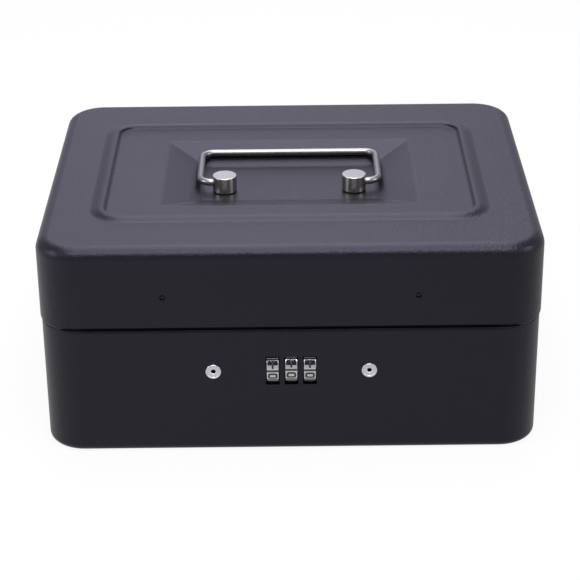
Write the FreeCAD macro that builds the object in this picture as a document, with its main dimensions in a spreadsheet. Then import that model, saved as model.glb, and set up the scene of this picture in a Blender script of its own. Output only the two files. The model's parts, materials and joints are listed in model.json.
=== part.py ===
import FreeCAD, Part
import math
import os
import re

import Sketcher

from FreeCAD import Rotation, Vector

# A steel cash box: a base tray with a stepped-in rim, a lid that drops over the rim and turns on a
# barrel hinge at the back, a wire handle that folds into a well in the lid, a three wheel combination
# lock behind the front wall, and a lift-out coin tray.
# Frame: +X right, +Y back, +Z up, origin under the middle of the underside. Millimetres.

SIZES = {
    # Pressed steel lid and base
    "box_width": 200.0,
    "box_depth": 160.0,
    "box_height": 90.0,
    "base_height": 54.8,
    "seam_gap": 1.2,
    "sheet_gauge": 0.8,
    "corner_radius": 16.0,
    "lid_edge_radius": 5.0,
    "lid_bevel": 0.4,
    "base_edge_radius": 3.0,
    "shoulder_radius": 0.6,
    "base_inset": 0.5,
    "rim_height": 8.0,
    "rim_clearance": 0.5,
    # Ridge pressed up around the top of the lid, measured at its crest
    "ridge_side_inset": 24.2,
    "ridge_front_inset": 30.5,
    "ridge_corner_radius": 9.0,
    "ridge_outer_flank": 5.6,
    "ridge_inner_flank": 2.6,
    "ridge_rise": 1.3,
    "ridge_root": 0.05,
    # Well pressed down into the lid for the handle
    "well_length": 105.0,
    "well_width": 71.0,
    "well_depth": 5.3,
    "well_run": 17.25,
    "well_forward": 2.5,
    "well_hip_radius": 4.0,
    "well_softness": 6.0,
    # Folding handle
    "post_span": 54.0,
    "post_forward": 10.0,
    "post_radius": 5.0,
    "post_height": 7.0,
    "post_chamfer": 0.5,
    "wire_radius": 1.5,
    "wire_clearance": 0.08,
    "wire_end_wall": 0.75,
    "bail_leg_gap": 5.3,
    "bail_reach": 32.5,
    "bail_bend": 5.0,
    "bail_rest_clearance": 0.1,
    "post_screw_radius": 1.5,
    "post_screw_grip": 4.5,
    "post_screw_head": 2.9,
    "post_screw_head_height": 1.9,
    "washer_radius": 4.0,
    "washer_thickness": 0.8,
    "screw_clearance": 0.05,
    "screw_slot_width": 0.8,
    "screw_slot_depth": 0.9,
    # Barrel hinge at the back
    "hinge_length": 120.0,
    "hinge_inboard": 0.55,
    "knuckle_radius": 2.0,
    "knuckle_gap": 0.15,
    "pin_radius": 1.0,
    "pin_clearance": 0.05,
    "leaf_gauge": 0.8,
    "leaf_height": 14.6,
    "leaf_swing_clearance": 0.3,
    "hinge_notch_clearance": 0.4,
    "hinge_end_clearance": 1.0,
    "hinge_rivet_spread": 45.0,
    "hinge_rivet_drop": 8.6,
    "hinge_rivet_radius": 1.4,
    "hinge_rivet_head": 2.5,
    "hinge_rivet_head_height": 0.6,
    "rivet_clearance": 0.05,
    # Strike hanging from the lid
    "strike_rivet_spread": 50.0,
    "strike_rivet_rise": 13.4,
    "strike_rivet_radius": 1.15,
    "strike_rivet_sink": 0.1,
    "strike_rivet_ring": 0.12,
    "strike_rivet_dimple": 0.5,
    "strike_rivet_upset": 2.0,
    "strike_end_margin": 6.0,
    "strike_top_margin": 5.6,
    "strike_rim_clearance": 0.3,
    "tongue_gauge": 1.2,
    "tongue_front_margin": 2.7,
    "tongue_back_margin": 3.2,
    "tongue_tip": 3.1,
    "tongue_chamfer": 2.0,
    "tongue_hole_clearance": 0.2,
    "tongue_flange": 12.0,
    # Combination lock
    "lock_drop": 18.4,
    "lock_plate": 1.2,
    "lock_rivet_span": 62.0,
    "lock_rivet_head": 3.125,
    "lock_rivet_crown": 0.75,
    "lock_rivet_edge": 0.25,
    "lock_rivet_hole": 0.95,
    "lock_rivet_shank": 1.7,
    "lock_rivet_upset": 2.2,
    "lock_plate_margin": 5.0,
    "lock_plate_height": 31.0,
    "window_side_clearance": 0.35,
    "window_end_clearance": 0.22,
    "frame_window_clearance": 0.5,
    "wheel_radius": 8.0,
    "wheel_width": 4.8,
    "wheel_pitch": 7.4,
    "wheel_stand_out": 2.0,
    "ring_radius": 5.5,
    "ring_clearance": 0.1,
    "ring_web": 1.0,
    "ring_recess": 3.7,
    "ring_tail": 1.2,
    "tooth_radius": 0.6,
    "tooth_length": 1.0,
    "tooth_setback": 0.5,
    "tooth_clearance": 0.12,
    "notch_end": 0.4,
    "collar_length": 2.5,
    "collar_lip_radius": 4.9,
    "collar_groove_radius": 4.1,
    "collar_groove_start": 1.3,
    "fork_gauge": 0.6,
    "fork_clearance": 0.05,
    "fork_wall": 1.7,
    "fork_reach": 2.5,
    "slide_bar": 1.6,
    "slide_bar_gap": 0.5,
    "slide_clearance": 0.3,
    "slide_travel": 1.2,
    "thumb_tab_width": 3.0,
    "thumb_tab_reach": 2.0,
    "bolt_radius": 2.0,
    "bolt_clearance": 0.08,
    "bolt_throw": 2.5,
    "bolt_nose": 2.2,
    "bolt_tip_radius": 0.9,
    "bolt_tail": 0.2,
    "fin_width": 1.0,
    "fin_reach": 3.4,
    "fin_gap": 0.25,
    "keyway_clearance": 0.12,
    "clip_gauge": 1.0,
    "clip_radius": 3.4,
    "clip_groove": 0.5,
    "clip_setback": 2.1,
    "spring_length": 5.6,
    "spring_wire": 0.3,
    "spring_radius": 2.7,
    "spring_turns": 4.0,
    "ear_gap": 2.6,
    "ear_margin": 3.0,
    "cover_gauge": 0.8,
    "cover_room": 1.2,
    "cover_tab_width": 8.0,
    "cover_tab_height": 5.0,
    "cover_screw_radius": 1.25,
    "cover_screw_head": 2.2,
    "cover_screw_head_height": 1.3,
    "detent_gauge": 0.3,
    "detent_clearance": 0.15,
    "detent_finger_width": 3.0,
    "detent_reach": 8.5,
    "tongue_gap": 1.6,
    # Coin tray
    "tray_lock_room": 21.5,
    "tray_side_gap": 3.5,
    "tray_back_gap": 1.9,
    "tray_depth": 28.0,
    "tray_wall": 1.6,
    "tray_flange": 1.5,
    "tray_flange_margin": 0.4,
    "tray_flange_setback": 14.0,
    "tray_corner_radius": 12.0,
    "cup_floor_radius": 4.0,
    "note_cup_width": 62.0,
}

# Places and sizes that follow from the driving ones
PLACES = {
    "lid_bottom": "base_height + seam_gap",
    "lid_side": "box_width / 2",
    "lid_front": "box_depth / 2",
    "lid_inside_front": "lid_front - sheet_gauge",
    "base_side": "lid_side - base_inset",
    "base_front": "lid_front - base_inset",
    "base_inside_front": "base_front - sheet_gauge",
    "rim_side": "lid_side - sheet_gauge - rim_clearance",
    "rim_front": "lid_front - sheet_gauge - rim_clearance",
    "rim_corner": "corner_radius - sheet_gauge - rim_clearance",
    "rim_top": "base_height + rim_height",
    "crest_side": "lid_side - ridge_side_inset",
    "crest_front": "lid_front - ridge_front_inset",
    "ridge_lift": "ridge_rise + ridge_root",
    "ridge_outer_radius": "(ridge_outer_flank ^ 2 + ridge_lift ^ 2) / (4 * ridge_lift)",
    "ridge_inner_radius": "(ridge_inner_flank ^ 2 + ridge_lift ^ 2) / (4 * ridge_lift)",
    "well_floor": "box_height - well_depth",
    "well_slope": "well_depth / well_run",
    "well_floor_back": "well_width / 2 - well_run - well_forward",
    "post_side": "post_span / 2",
    "bar_line": "bail_reach - post_forward",
    "leg_line": "post_side + post_radius + bail_leg_gap",
    "pivot_lift": "(bar_line - well_floor_back) * well_slope + wire_radius * sqrt(1 + well_slope ^ 2)",
    "pivot_level": "well_floor + pivot_lift + bail_rest_clearance",
    "wire_end": "post_side + post_screw_radius + wire_end_wall",
    "washer_top": "well_floor - sheet_gauge",
    "washer_bottom": "washer_top - washer_thickness",
    "hinge_line": "lid_front - hinge_inboard",
    "hinge_level": "base_height + seam_gap / 2",
    "hinge_side": "hinge_length / 2",
    "hinge_notch": "knuckle_radius + hinge_notch_clearance",
    "hinge_rivet_hole": "hinge_rivet_radius + rivet_clearance",
    "lid_rivet_level": "hinge_level + hinge_rivet_drop",
    "base_rivet_level": "hinge_level - hinge_rivet_drop",
    "leaf_edge": "knuckle_radius + leaf_swing_clearance",
    "strike_level": "lid_bottom + strike_rivet_rise",
    "strike_back": "lid_inside_front - leaf_gauge",
    "strike_bottom": "rim_top + strike_rim_clearance",
    "lock_height": "base_height - lock_drop",
    "axle_line": "wheel_stand_out + base_front - wheel_radius",
    "plate_back": "base_inside_front - lock_plate",
    "plate_side": "lock_rivet_span / 2 + lock_plate_margin",
    "wheel_half": "wheel_width / 2",
    "window_half_width": "wheel_half + window_side_clearance",
    "wheel_chord_at_wall": "sqrt(wheel_radius ^ 2 - (base_inside_front - axle_line) ^ 2)",
    "wheel_chord_at_plate": "sqrt(wheel_radius ^ 2 - (plate_back - axle_line) ^ 2)",
    "window_half_height": "wheel_chord_at_wall + window_end_clearance",
    "frame_window_half": "wheel_chord_at_plate + frame_window_clearance",
    "frame_window_left": "-(stack_side + collar_length + window_side_clearance)",
    "frame_window_right": "stack_side + window_side_clearance",
    "stack_side": "wheel_pitch + wheel_half",
    "collar_end": "wheel_half + collar_length",
    "groove_width": "fork_gauge + 2 * fork_clearance",
    "groove_right": "wheel_half + collar_groove_start",
    "groove_left": "groove_right + groove_width",
    "fin_left": "ring_web / 2 + fin_gap",
    "recess_left": "bolt_throw - fin_left + slide_travel + fin_gap / 2",
    "clip_right": "-(stack_side + collar_length + clip_setback)",
    "clip_left": "clip_right - clip_gauge",
    "left_ear": "clip_left - spring_length",
    "right_ear": "stack_side + ear_gap",
    "cover_left": "left_ear - lock_plate - bolt_tail - bolt_throw - slide_clearance - cover_gauge",
    "cover_right": "right_ear + lock_plate + cover_gauge",
    "cover_half": "wheel_radius + cover_room",
    "cover_middle": "(cover_left + cover_right) / 2",
    "cover_screw_lift": "cover_half + cover_gauge + cover_tab_height / 2",
    "tongue_left": "cover_right + tongue_gap",
    "bolt_shoulder": "tongue_left - tongue_hole_clearance",
    "slide_bar_front": "axle_line - wheel_radius - slide_bar_gap",
    "cover_back": "slide_bar_front - slide_bar - slide_clearance",
    "fork_slot": "collar_groove_radius + fork_clearance + ring_clearance",
    "tray_side": "rim_side - sheet_gauge - tray_side_gap",
    "tray_front": "base_front - tray_lock_room",
    "tray_back": "rim_front - sheet_gauge - tray_back_gap",
    "tray_top": "rim_top + tray_flange",
    "tray_bottom": "tray_top - tray_depth",
    "cup_corner": "tray_corner_radius - tray_wall",
    "note_cup_front": "tray_back - tray_wall - note_cup_width",
}

KNUCKLES = 7
HINGE_RIVETS = (-1, 0, 1)
COIN_CUPS = 4
FACETS = 10
WHEELS = {"left": -1, "middle": 0, "right": 1}
BOTH_SIDES = {"left": -1, "right": 1}
NEAR = 1e-4

UPRIGHT = Rotation()
ALONG_X = Rotation(Vector(0, 1, 0), 90)
ALONG_Y = Rotation(Vector(1, 0, 0), -90)
EDGE_TO_FRONT = Rotation(Vector(0, -1, 0), Vector(0, 0, -1), Vector(1, 0, 0), "ZXY")

doc = FreeCAD.newDocument("cash_box")
sheet = doc.addObject("Spreadsheet::Sheet", "sizes")
for row, (alias, number) in enumerate(SIZES.items(), 1):
    sheet.set(f"A{row}", alias)
    sheet.set(f"B{row}", str(number))
    sheet.setAlias(f"B{row}", alias)
doc.recompute()


# Formulas

def written_out(formula):
    """The formula in cells of the sheet, with every derived place put in brackets."""
    def swap(match):
        word = match.group()
        if word in PLACES:
            return "(" + written_out(PLACES[word]) + ")"
        return "sizes." + word if word in SIZES else word
    return re.sub(r"[a-z][a-z_]*", swap, formula)


def value(formula):
    return float(sheet.evalExpression(written_out(formula)))


def bind(thing, prop, formula):
    thing.setExpression(prop, written_out(formula))


def place(thing, x="0", y="0", z="0"):
    bind(thing, "Placement.Base.x", x)
    bind(thing, "Placement.Base.y", y)
    bind(thing, "Placement.Base.z", z)


# Solids from primitives and booleans

def block(name, x, y, z):
    """A box between three pairs of formulas."""
    box = doc.addObject("Part::Box", name)
    bind(box, "Length", f"({x[1]}) - ({x[0]})")
    bind(box, "Width", f"({y[1]}) - ({y[0]})")
    bind(box, "Height", f"({z[1]}) - ({z[0]})")
    place(box, x[0], y[0], z[0])
    return box


def rod(name, start, length, radius, turn):
    """A round bar from its start point along X, Y or Z."""
    bar = doc.addObject("Part::Cylinder", name)
    bind(bar, "Radius", radius)
    bind(bar, "Height", length)
    bar.Placement.Rotation = turn
    place(bar, *start)
    return bar


def join(name, parts):
    whole = doc.addObject("Part::MultiFuse", name)
    whole.Shapes = parts
    whole.Refine = True
    return whole


def cut(name, base, tools):
    """The base less the tools, which may meet each other."""
    rest = doc.addObject("Part::Cut", name)
    rest.Base = base
    rest.Tool = tools[0] if len(tools) == 1 else join(name + "_cutters", tools)
    rest.Refine = True
    return rest


def group(name, parts):
    """Like pieces kept as separate solids under one name."""
    pieces = doc.addObject("Part::Compound", name)
    pieces.Links = parts
    return pieces


# Solids from sketches

def new_body(name):
    return doc.addObject("PartDesign::Body", name)


def plane_sketch(body, name, role="XY_Plane", offset="0"):
    """An empty sketch on one of the body's own planes, moved along its normal."""
    sketch = body.newObject("Sketcher::SketchObject", name)
    plane = next(item for item in body.Origin.OriginFeatures if item.Role == role)
    sketch.AttachmentSupport = [(plane, "")]
    sketch.MapMode = "FlatFace"
    bind(sketch, "AttachmentOffset.Base.z", offset)
    return sketch


def hold(sketch, kind, formula, *where):
    """One driving constraint, bound to its formula."""
    index = sketch.addConstraint(Sketcher.Constraint(kind, *where, value(formula)))
    bind(sketch, f"Constraints[{index}]", formula)


def hold_point(sketch, line, end, x, y):
    hold(sketch, "DistanceX", x, -1, 1, line, end)
    hold(sketch, "DistanceY", y, -1, 1, line, end)


def polygon(sketch, points):
    """A closed outline of straight lines through points given as formulas."""
    spots = [Vector(value(x), value(y), 0) for x, y in points]
    ends = spots[1:] + spots[:1]
    lines = [sketch.addGeometry(Part.LineSegment(a, b), False) for a, b in zip(spots, ends)]
    for line, following in zip(lines, lines[1:] + lines[:1]):
        sketch.addConstraint(Sketcher.Constraint("Coincident", line, 2, following, 1))
    for line, (x, y) in zip(lines, points):
        hold_point(sketch, line, 1, x, y)


def square_path(sketch, corners, radius, closed=True):
    """Lines along X and Y by turns, with every turn rounded to one radius."""
    count = len(corners)
    spots = [Vector(value(x), value(y), 0) for x, y in corners]
    bend = value(radius)
    legs = count if closed else count - 1
    headings = [(spots[(i + 1) % count] - spots[i]).normalize() for i in range(legs)]
    rounded = [closed or 0 < i < count - 1 for i in range(count)]
    lines = []
    for i in range(legs):
        following = (i + 1) % count
        start = spots[i] + headings[i] * (bend * rounded[i])
        end = spots[following] - headings[i] * (bend * rounded[following])
        lines.append(sketch.addGeometry(Part.LineSegment(start, end), False))
        upright = abs(headings[i].x) < NEAR
        sketch.addConstraint(Sketcher.Constraint("Vertical" if upright else "Horizontal", lines[i]))
    arcs = []
    for i in range(count):
        if not rounded[i]:
            continue
        before, after = headings[i - 1], headings[i % legs]
        left_turn = before.cross(after).z > 0
        centre = spots[i] - before * bend + after * bend
        first = -after if left_turn else before
        start = math.atan2(first.y, first.x)
        circle = Part.Circle(centre, Vector(0, 0, 1), bend)
        arc = sketch.addGeometry(Part.ArcOfCircle(circle, start, start + math.pi / 2), False)
        near, far = (1, 2) if left_turn else (2, 1)
        sketch.addConstraint(Sketcher.Constraint("Tangent", lines[i - 1], 2, arc, near))
        sketch.addConstraint(Sketcher.Constraint("Tangent", lines[i % legs], 1, arc, far))
        if arcs:
            sketch.addConstraint(Sketcher.Constraint("Equal", arcs[0], arc))
        arcs.append(arc)
    hold(sketch, "Radius", radius, arcs[0])
    for i, line in enumerate(lines):
        x, y = corners[i]
        if abs(headings[i].x) < NEAR:
            hold(sketch, "DistanceX", x, -1, 1, line, 1)
        else:
            hold(sketch, "DistanceY", y, -1, 1, line, 1)
    if not closed:
        hold(sketch, "DistanceX", corners[0][0], -1, 1, lines[0], 1)
        hold(sketch, "DistanceX", corners[-1][0], -1, 1, lines[-1], 2)


def rectangle(sketch, half_x, half_y, middle_y):
    """A plain rectangle, centred left to right."""
    front = f"{middle_y} - ({half_y})"
    back = f"{middle_y} + {half_y}"
    right = half_x
    left = f"-({half_x})"
    polygon(sketch, [(right, front), (right, back), (left, back), (left, front)])


def rounded_rectangle(sketch, half_x, half_y, radius, centre=("0", "0")):
    """A rectangle with round corners, from its right side on."""
    right = f"{centre[0]} + {half_x}"
    left = f"{centre[0]} - ({half_x})"
    back = f"{centre[1]} + {half_y}"
    front = f"{centre[1]} - ({half_y})"
    square_path(sketch, [(right, front), (right, back), (left, back), (left, front)], radius)


def feature(body, kind, name, profile, **sizes):
    """One sketch-based feature, its sizes bound to formulas."""
    made = body.newObject("PartDesign::" + kind, name)
    made.Profile = profile
    for prop, formula in sizes.items():
        bind(made, prop, formula)
    return made


def level_edges(solid, height):
    """Names of the edges that lie wholly at one height."""
    level = value(height)
    boxes = [edge.BoundBox for edge in solid.Shape.Edges]
    flat = [abs(box.ZMin - level) < NEAR and abs(box.ZMax - level) < NEAR for box in boxes]
    return [f"Edge{number}" for number, found in enumerate(flat, 1) if found]


def soften(body, kind, name, base, edges, **sizes):
    """A fillet or chamfer along named edges of the feature before it."""
    made = body.newObject("PartDesign::" + kind, name)
    made.Base = (base, edges)
    for prop, formula in sizes.items():
        bind(made, prop, formula)
    doc.recompute()
    return made


def turned(name, axis, points, x="0", y="0", z="0"):
    """A piece turned about X, Y or Z, from an outline of distances along and from its axis."""
    body = new_body(name)
    sketch = plane_sketch(body, name + "_outline", "XZ_Plane" if axis == "Z" else "XY_Plane")
    polygon(sketch, points if axis == "X" else [(radius, along) for along, radius in points])
    spin = feature(body, "Revolution", name + "_spin", sketch)
    spin.ReferenceAxis = (sketch, ["H_Axis" if axis == "X" else "V_Axis"])
    spin.Angle = 360
    place(body, x, y, z)
    return body


# Lid

def ridge_outline(sketch, top):
    """Section of the ridge: a gentle outer flank and a steep inner one, each of two equal arcs."""
    foot = f"{top} - ridge_root"
    waist = f"{foot} + ridge_lift / 2"
    crest = f"{foot} + ridge_lift"
    points = [
        ("crest_side + ridge_outer_flank", foot),
        ("crest_side + ridge_outer_flank / 2", waist),
        ("crest_side", crest),
        ("crest_side - ridge_inner_flank / 2", waist),
        ("crest_side - ridge_inner_flank", foot),
    ]
    spots = [Vector(value(x), value(y), 0) for x, y in points]
    radii = ["ridge_outer_radius"] * 2 + ["ridge_inner_radius"] * 2
    above = [True, False, False, True]
    for i, radius in enumerate(radii):
        arc = sketch.addGeometry(upright_arc(spots[i], spots[i + 1], value(radius), above[i]), False)
        hold(sketch, "Radius", radius, arc)
        start, end = (1, 2) if above[i] == (spots[i].x < spots[i + 1].x) else (2, 1)
        hold_point(sketch, arc, start, *points[i])
        hold_point(sketch, arc, end, *points[i + 1])
    base = sketch.addGeometry(Part.LineSegment(spots[-1], spots[0]), False)
    hold_point(sketch, base, 1, *points[-1])
    hold_point(sketch, base, 2, *points[0])


def upright_arc(start, end, radius, above):
    """The short arc of one radius between two points, its centre above or below them."""
    middle = (start + end) * 0.5
    chord = end - start
    side = Vector(-chord.y, chord.x, 0).normalize()
    if (side.y > 0) != above:
        side = -side
    centre = middle + side * math.sqrt(radius ** 2 - chord.Length ** 2 / 4)
    first, last = start - centre, end - centre
    if first.cross(last).z < 0:
        first, last = last, first
    begin = math.atan2(first.y, first.x)
    circle = Part.Circle(centre, Vector(0, 0, 1), radius)
    return Part.ArcOfCircle(circle, begin, begin + first.getAngle(last))


def lid_form(name, inset, bottom):
    """The lid as a filled block, its faces moved in from the outside of the sheet."""
    body = new_body(name)
    top = f"box_height - {inset}"
    outline = plane_sketch(body, name + "_outline", offset=bottom)
    rounded_rectangle(outline, f"lid_side - {inset}", f"lid_front - {inset}", f"corner_radius - {inset}")
    walls = feature(body, "Pad", name + "_walls", outline, Length=f"{top} - ({bottom})")
    doc.recompute()
    edges = level_edges(walls, top)
    crown = soften(body, "Fillet", name + "_edge", walls, edges, Radius=f"lid_edge_radius - {inset}")

    crest = plane_sketch(body, name + "_crest", offset=top)
    rounded_rectangle(crest, "crest_side", "crest_front", "ridge_corner_radius")
    start = "crest_front - ridge_corner_radius"
    section = plane_sketch(body, name + "_ridge_section", "XZ_Plane", start)
    ridge_outline(section, top)
    ridge = feature(body, "AdditivePipe", name + "_ridge", section)
    ridge.Spine = crest

    mouth = plane_sketch(body, name + "_well_mouth", offset=top)
    rectangle(mouth, "well_length / 2", "well_width / 2", "-well_forward")
    floor_level = f"{top} - well_depth"
    floor = plane_sketch(body, name + "_well_floor", offset=floor_level)
    rectangle(floor, "well_length / 2 - well_run", "well_width / 2 - well_run", "-well_forward")
    well = feature(body, "SubtractiveLoft", name + "_well", mouth)
    well.Sections = [floor]
    well.Ruled = True
    doc.recompute()
    hips = soften(body, "Fillet", name + "_well_hips", well, hip_edges(well), Radius="well_hip_radius")
    soft = level_edges(hips, floor_level) + well_mouth_edges(hips, top)
    soften(body, "Fillet", name + "_well_edges", hips, soft, Radius="well_softness")
    return body


def hip_edges(solid):
    """The straight edges where neighbouring slopes of the well meet."""
    depth = value("well_depth")
    run = value("well_run")
    hips = []
    for number, edge in enumerate(solid.Shape.Edges, 1):
        box = edge.BoundBox
        if abs(box.ZLength - depth) < NEAR and abs(box.XLength - run) < NEAR:
            hips.append(f"Edge{number}")
    return hips


def well_mouth_edges(solid, top):
    """The edges of the well's mouth, which lie inside the ridge."""
    reach_x = value("well_length / 2") + NEAR
    reach_y = value("well_width / 2 + well_forward") + NEAR
    mouth = []
    for name in level_edges(solid, top):
        box = solid.Shape.getElement(name).BoundBox
        if box.XMax < reach_x and box.XMin > -reach_x and box.YMin > -reach_y and box.YMax < reach_y:
            mouth.append(name)
    return mouth


def lid_shell():
    outside = lid_form("lid_outside", "0", "lid_bottom")
    edges = level_edges(outside, "lid_bottom")
    soften(outside, "Chamfer", "lid_bevel_cut", outside.Tip, edges, Size="lid_bevel")
    inside = lid_form("lid_inside", "sheet_gauge", "lid_bottom - sheet_gauge")
    cutters = [inside]
    span = ("-(hinge_side + hinge_end_clearance)", "hinge_side + hinge_end_clearance")
    behind = ("lid_inside_front - sheet_gauge", "lid_front + sheet_gauge")
    notch = ("lid_bottom - 2 * sheet_gauge", "hinge_level + hinge_notch")
    cutters.append(block("lid_hinge_notch", span, behind, notch))
    for spot in HINGE_RIVETS:
        start = (f"{spot} * hinge_rivet_spread", "lid_inside_front - sheet_gauge", "lid_rivet_level")
        cutters.append(rivet_hole(f"lid_hinge_hole_{spot + 1}", start, "hinge_rivet_hole"))
    for side, sign in BOTH_SIDES.items():
        start = (f"{sign} * strike_rivet_spread", "-(lid_front + sheet_gauge)", "strike_level")
        cutters.append(rivet_hole(f"strike_hole_{side}", start, "strike_rivet_radius + strike_rivet_ring"))
        start = (f"{sign} * post_side", "-post_forward", "washer_top - sheet_gauge")
        radius = "post_screw_radius + screw_clearance"
        cutters.append(rod(f"post_hole_{side}", start, "3 * sheet_gauge", radius, UPRIGHT))
    return cut("lid_shell", outside, cutters)


def rivet_hole(name, start, radius):
    """A hole through one sheet, from a point one gauge in front of it."""
    return rod(name, start, "3 * sheet_gauge", radius, ALONG_Y)


# Base

def base_shell():
    body = new_body("base_pressing")
    outline = plane_sketch(body, "base_outline")
    corner = "corner_radius - base_inset"
    rounded_rectangle(outline, "base_side", "base_front", corner)
    walls = feature(body, "Pad", "base_walls", outline, Length="base_height")
    doc.recompute()
    edges = level_edges(walls, "base_height")
    soften(body, "Fillet", "base_shoulder", walls, edges, Radius="shoulder_radius")

    rim = plane_sketch(body, "rim_outline", offset="base_height")
    rounded_rectangle(rim, "rim_side", "rim_front", "rim_corner")
    feature(body, "Pad", "base_rim", rim, Length="rim_height")
    mouth = plane_sketch(body, "mouth_outline", offset="rim_top")
    inside = ("rim_side - sheet_gauge", "rim_front - sheet_gauge", "rim_corner - sheet_gauge")
    rounded_rectangle(mouth, *inside)
    feature(body, "Pocket", "base_mouth", mouth, Length="rim_height + sheet_gauge")
    room = plane_sketch(body, "room_outline", offset="base_height - sheet_gauge")
    rounded_rectangle(room, "base_side - sheet_gauge", "base_inside_front", f"{corner} - sheet_gauge")
    hollow = feature(body, "Pocket", "base_room", room, Length="base_height - 2 * sheet_gauge")
    doc.recompute()
    edges = level_edges(hollow, "sheet_gauge")
    inner_radius = "base_edge_radius - sheet_gauge"
    lined = soften(body, "Fillet", "base_inside_edge", hollow, edges, Radius=inner_radius)
    soften(body, "Fillet", "base_edge", lined, level_edges(lined, "0"), Radius="base_edge_radius")

    span = ("-(hinge_side + hinge_end_clearance)", "hinge_side + hinge_end_clearance")
    behind = ("rim_front - 2 * sheet_gauge", "base_front + sheet_gauge")
    notch = ("hinge_level - hinge_notch", "rim_top + sheet_gauge")
    cutters = [block("base_hinge_notch", span, behind, notch)]
    for spot in HINGE_RIVETS:
        start = (f"{spot} * hinge_rivet_spread", "base_inside_front - sheet_gauge", "base_rivet_level")
        cutters.append(rivet_hole(f"base_hinge_hole_{spot + 1}", start, "hinge_rivet_hole"))
    for side, sign in BOTH_SIDES.items():
        start = (f"{sign} * lock_rivet_span / 2", "-(base_front + sheet_gauge)", "lock_height")
        cutters.append(rivet_hole(f"lock_hole_{side}", start, "lock_rivet_shank + rivet_clearance"))
    through = ("-(base_front + sheet_gauge)", "-(base_inside_front - sheet_gauge)")
    cutters += [window(f"base_window_{side}", spot, through) for side, spot in WHEELS.items()]
    return cut("base_shell", body, cutters)


def window(name, spot, through):
    """The slot that one wheel shows through."""
    x = (f"{spot} * wheel_pitch - window_half_width", f"{spot} * wheel_pitch + window_half_width")
    return block(name, x, through, across_lock("window_half_height"))


# Barrel hinge

def hinge_leaf(name, first, face, sign):
    """A leaf against the inside of one back wall, with every other knuckle from the first on."""
    y = (f"{face} - leaf_gauge", face)
    reach = [f"hinge_level + {sign} * leaf_edge", f"hinge_level + {sign} * leaf_height"]
    plate = block(name + "_plate", ("-hinge_side", "hinge_side"), y, reach[::sign])
    parts = [plate]
    for spot in range(first, KNUCKLES, 2):
        left = f"-hinge_side + {spot} * hinge_length / {KNUCKLES} + knuckle_gap / 2"
        length = f"hinge_length / {KNUCKLES} - knuckle_gap"
        start = (left, "hinge_line", "hinge_level")
        parts.append(rod(f"{name}_knuckle_{spot}", start, length, "knuckle_radius", ALONG_X))
        web = ["hinge_level", f"hinge_level + {sign} * leaf_edge"]
        parts.append(block(f"{name}_web_{spot}", (left, f"{left} + {length}"), y, web[::sign]))
    start = ("-(hinge_side + sheet_gauge)", "hinge_line", "hinge_level")
    radius = "pin_radius + pin_clearance"
    cutters = [rod(name + "_bore", start, "hinge_length + 2 * sheet_gauge", radius, ALONG_X)]
    level = "lid_rivet_level" if sign > 0 else "base_rivet_level"
    for spot in HINGE_RIVETS:
        start = (f"{spot} * hinge_rivet_spread", f"{face} - 2 * leaf_gauge", level)
        cutters.append(rod(f"{name}_hole_{spot + 1}", start, "3 * leaf_gauge", "hinge_rivet_hole", ALONG_Y))
    return cut(name, join(name + "_blank", parts), cutters)


def hinge_rivets(name, outer, inner, level):
    """Round head rivets through a back wall and its leaf."""
    head = "hinge_rivet_head"
    rise = "hinge_rivet_head_height"
    points = [
        (f"{inner} - {rise}", "0"),
        (f"{inner} - {rise}", head),
        (inner, head),
        (inner, "hinge_rivet_radius"),
        (outer, "hinge_rivet_radius"),
        (outer, head),
        (f"{outer} + {rise} / 2", head),
        (f"{outer} + {rise}", f"{head} - {rise}"),
        (f"{outer} + {rise}", "0"),
    ]
    rivets = []
    for spot in HINGE_RIVETS:
        rivets.append(turned(f"{name}_{spot + 1}", "Y", points, x=f"{spot} * hinge_rivet_spread", z=level))
    return group(name, rivets)


def hinge():
    start = ("-hinge_side", "hinge_line", "hinge_level")
    pin = rod("hinge_pin", start, "hinge_length", "pin_radius", ALONG_X)
    lid_leaf = hinge_leaf("hinge_lid_leaf", 1, "lid_inside_front", 1)
    base_leaf = hinge_leaf("hinge_base_leaf", 0, "base_inside_front", -1)
    lid_inner = "lid_inside_front - leaf_gauge"
    base_inner = "base_inside_front - leaf_gauge"
    lid_rivets = hinge_rivets("hinge_lid_rivets", "lid_front", lid_inner, "lid_rivet_level")
    base_rivets = hinge_rivets("hinge_base_rivets", "base_front", base_inner, "base_rivet_level")
    return [pin, lid_leaf, base_leaf, lid_rivets, base_rivets]


# Handle

def handle_post(side, sign):
    """A turned post with a blind screw hole below and a cross bore for the end of the wire."""
    name = f"handle_post_{side}"
    top = "well_floor + post_height"
    hole = "post_screw_radius + screw_clearance"
    depth = "well_floor + post_screw_grip + screw_clearance"
    points = [
        ("well_floor", hole),
        ("well_floor", "post_radius"),
        (f"{top} - post_chamfer", "post_radius"),
        (top, "post_radius - post_chamfer"),
        (top, "0"),
        (depth, "0"),
        (depth, hole),
    ]
    blank = turned(name + "_blank", "Z", points, x=f"{sign} * post_side", y="-post_forward")
    outer = "post_side + post_radius + wire_radius"
    inner = "wire_end - wire_clearance"
    left = inner if sign > 0 else f"-({outer})"
    start = (left, "-post_forward", "pivot_level")
    bore = rod(name + "_bore", start, f"{outer} - ({inner})", "wire_radius + wire_clearance", ALONG_X)
    return cut(name, blank, [bore])


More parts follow.
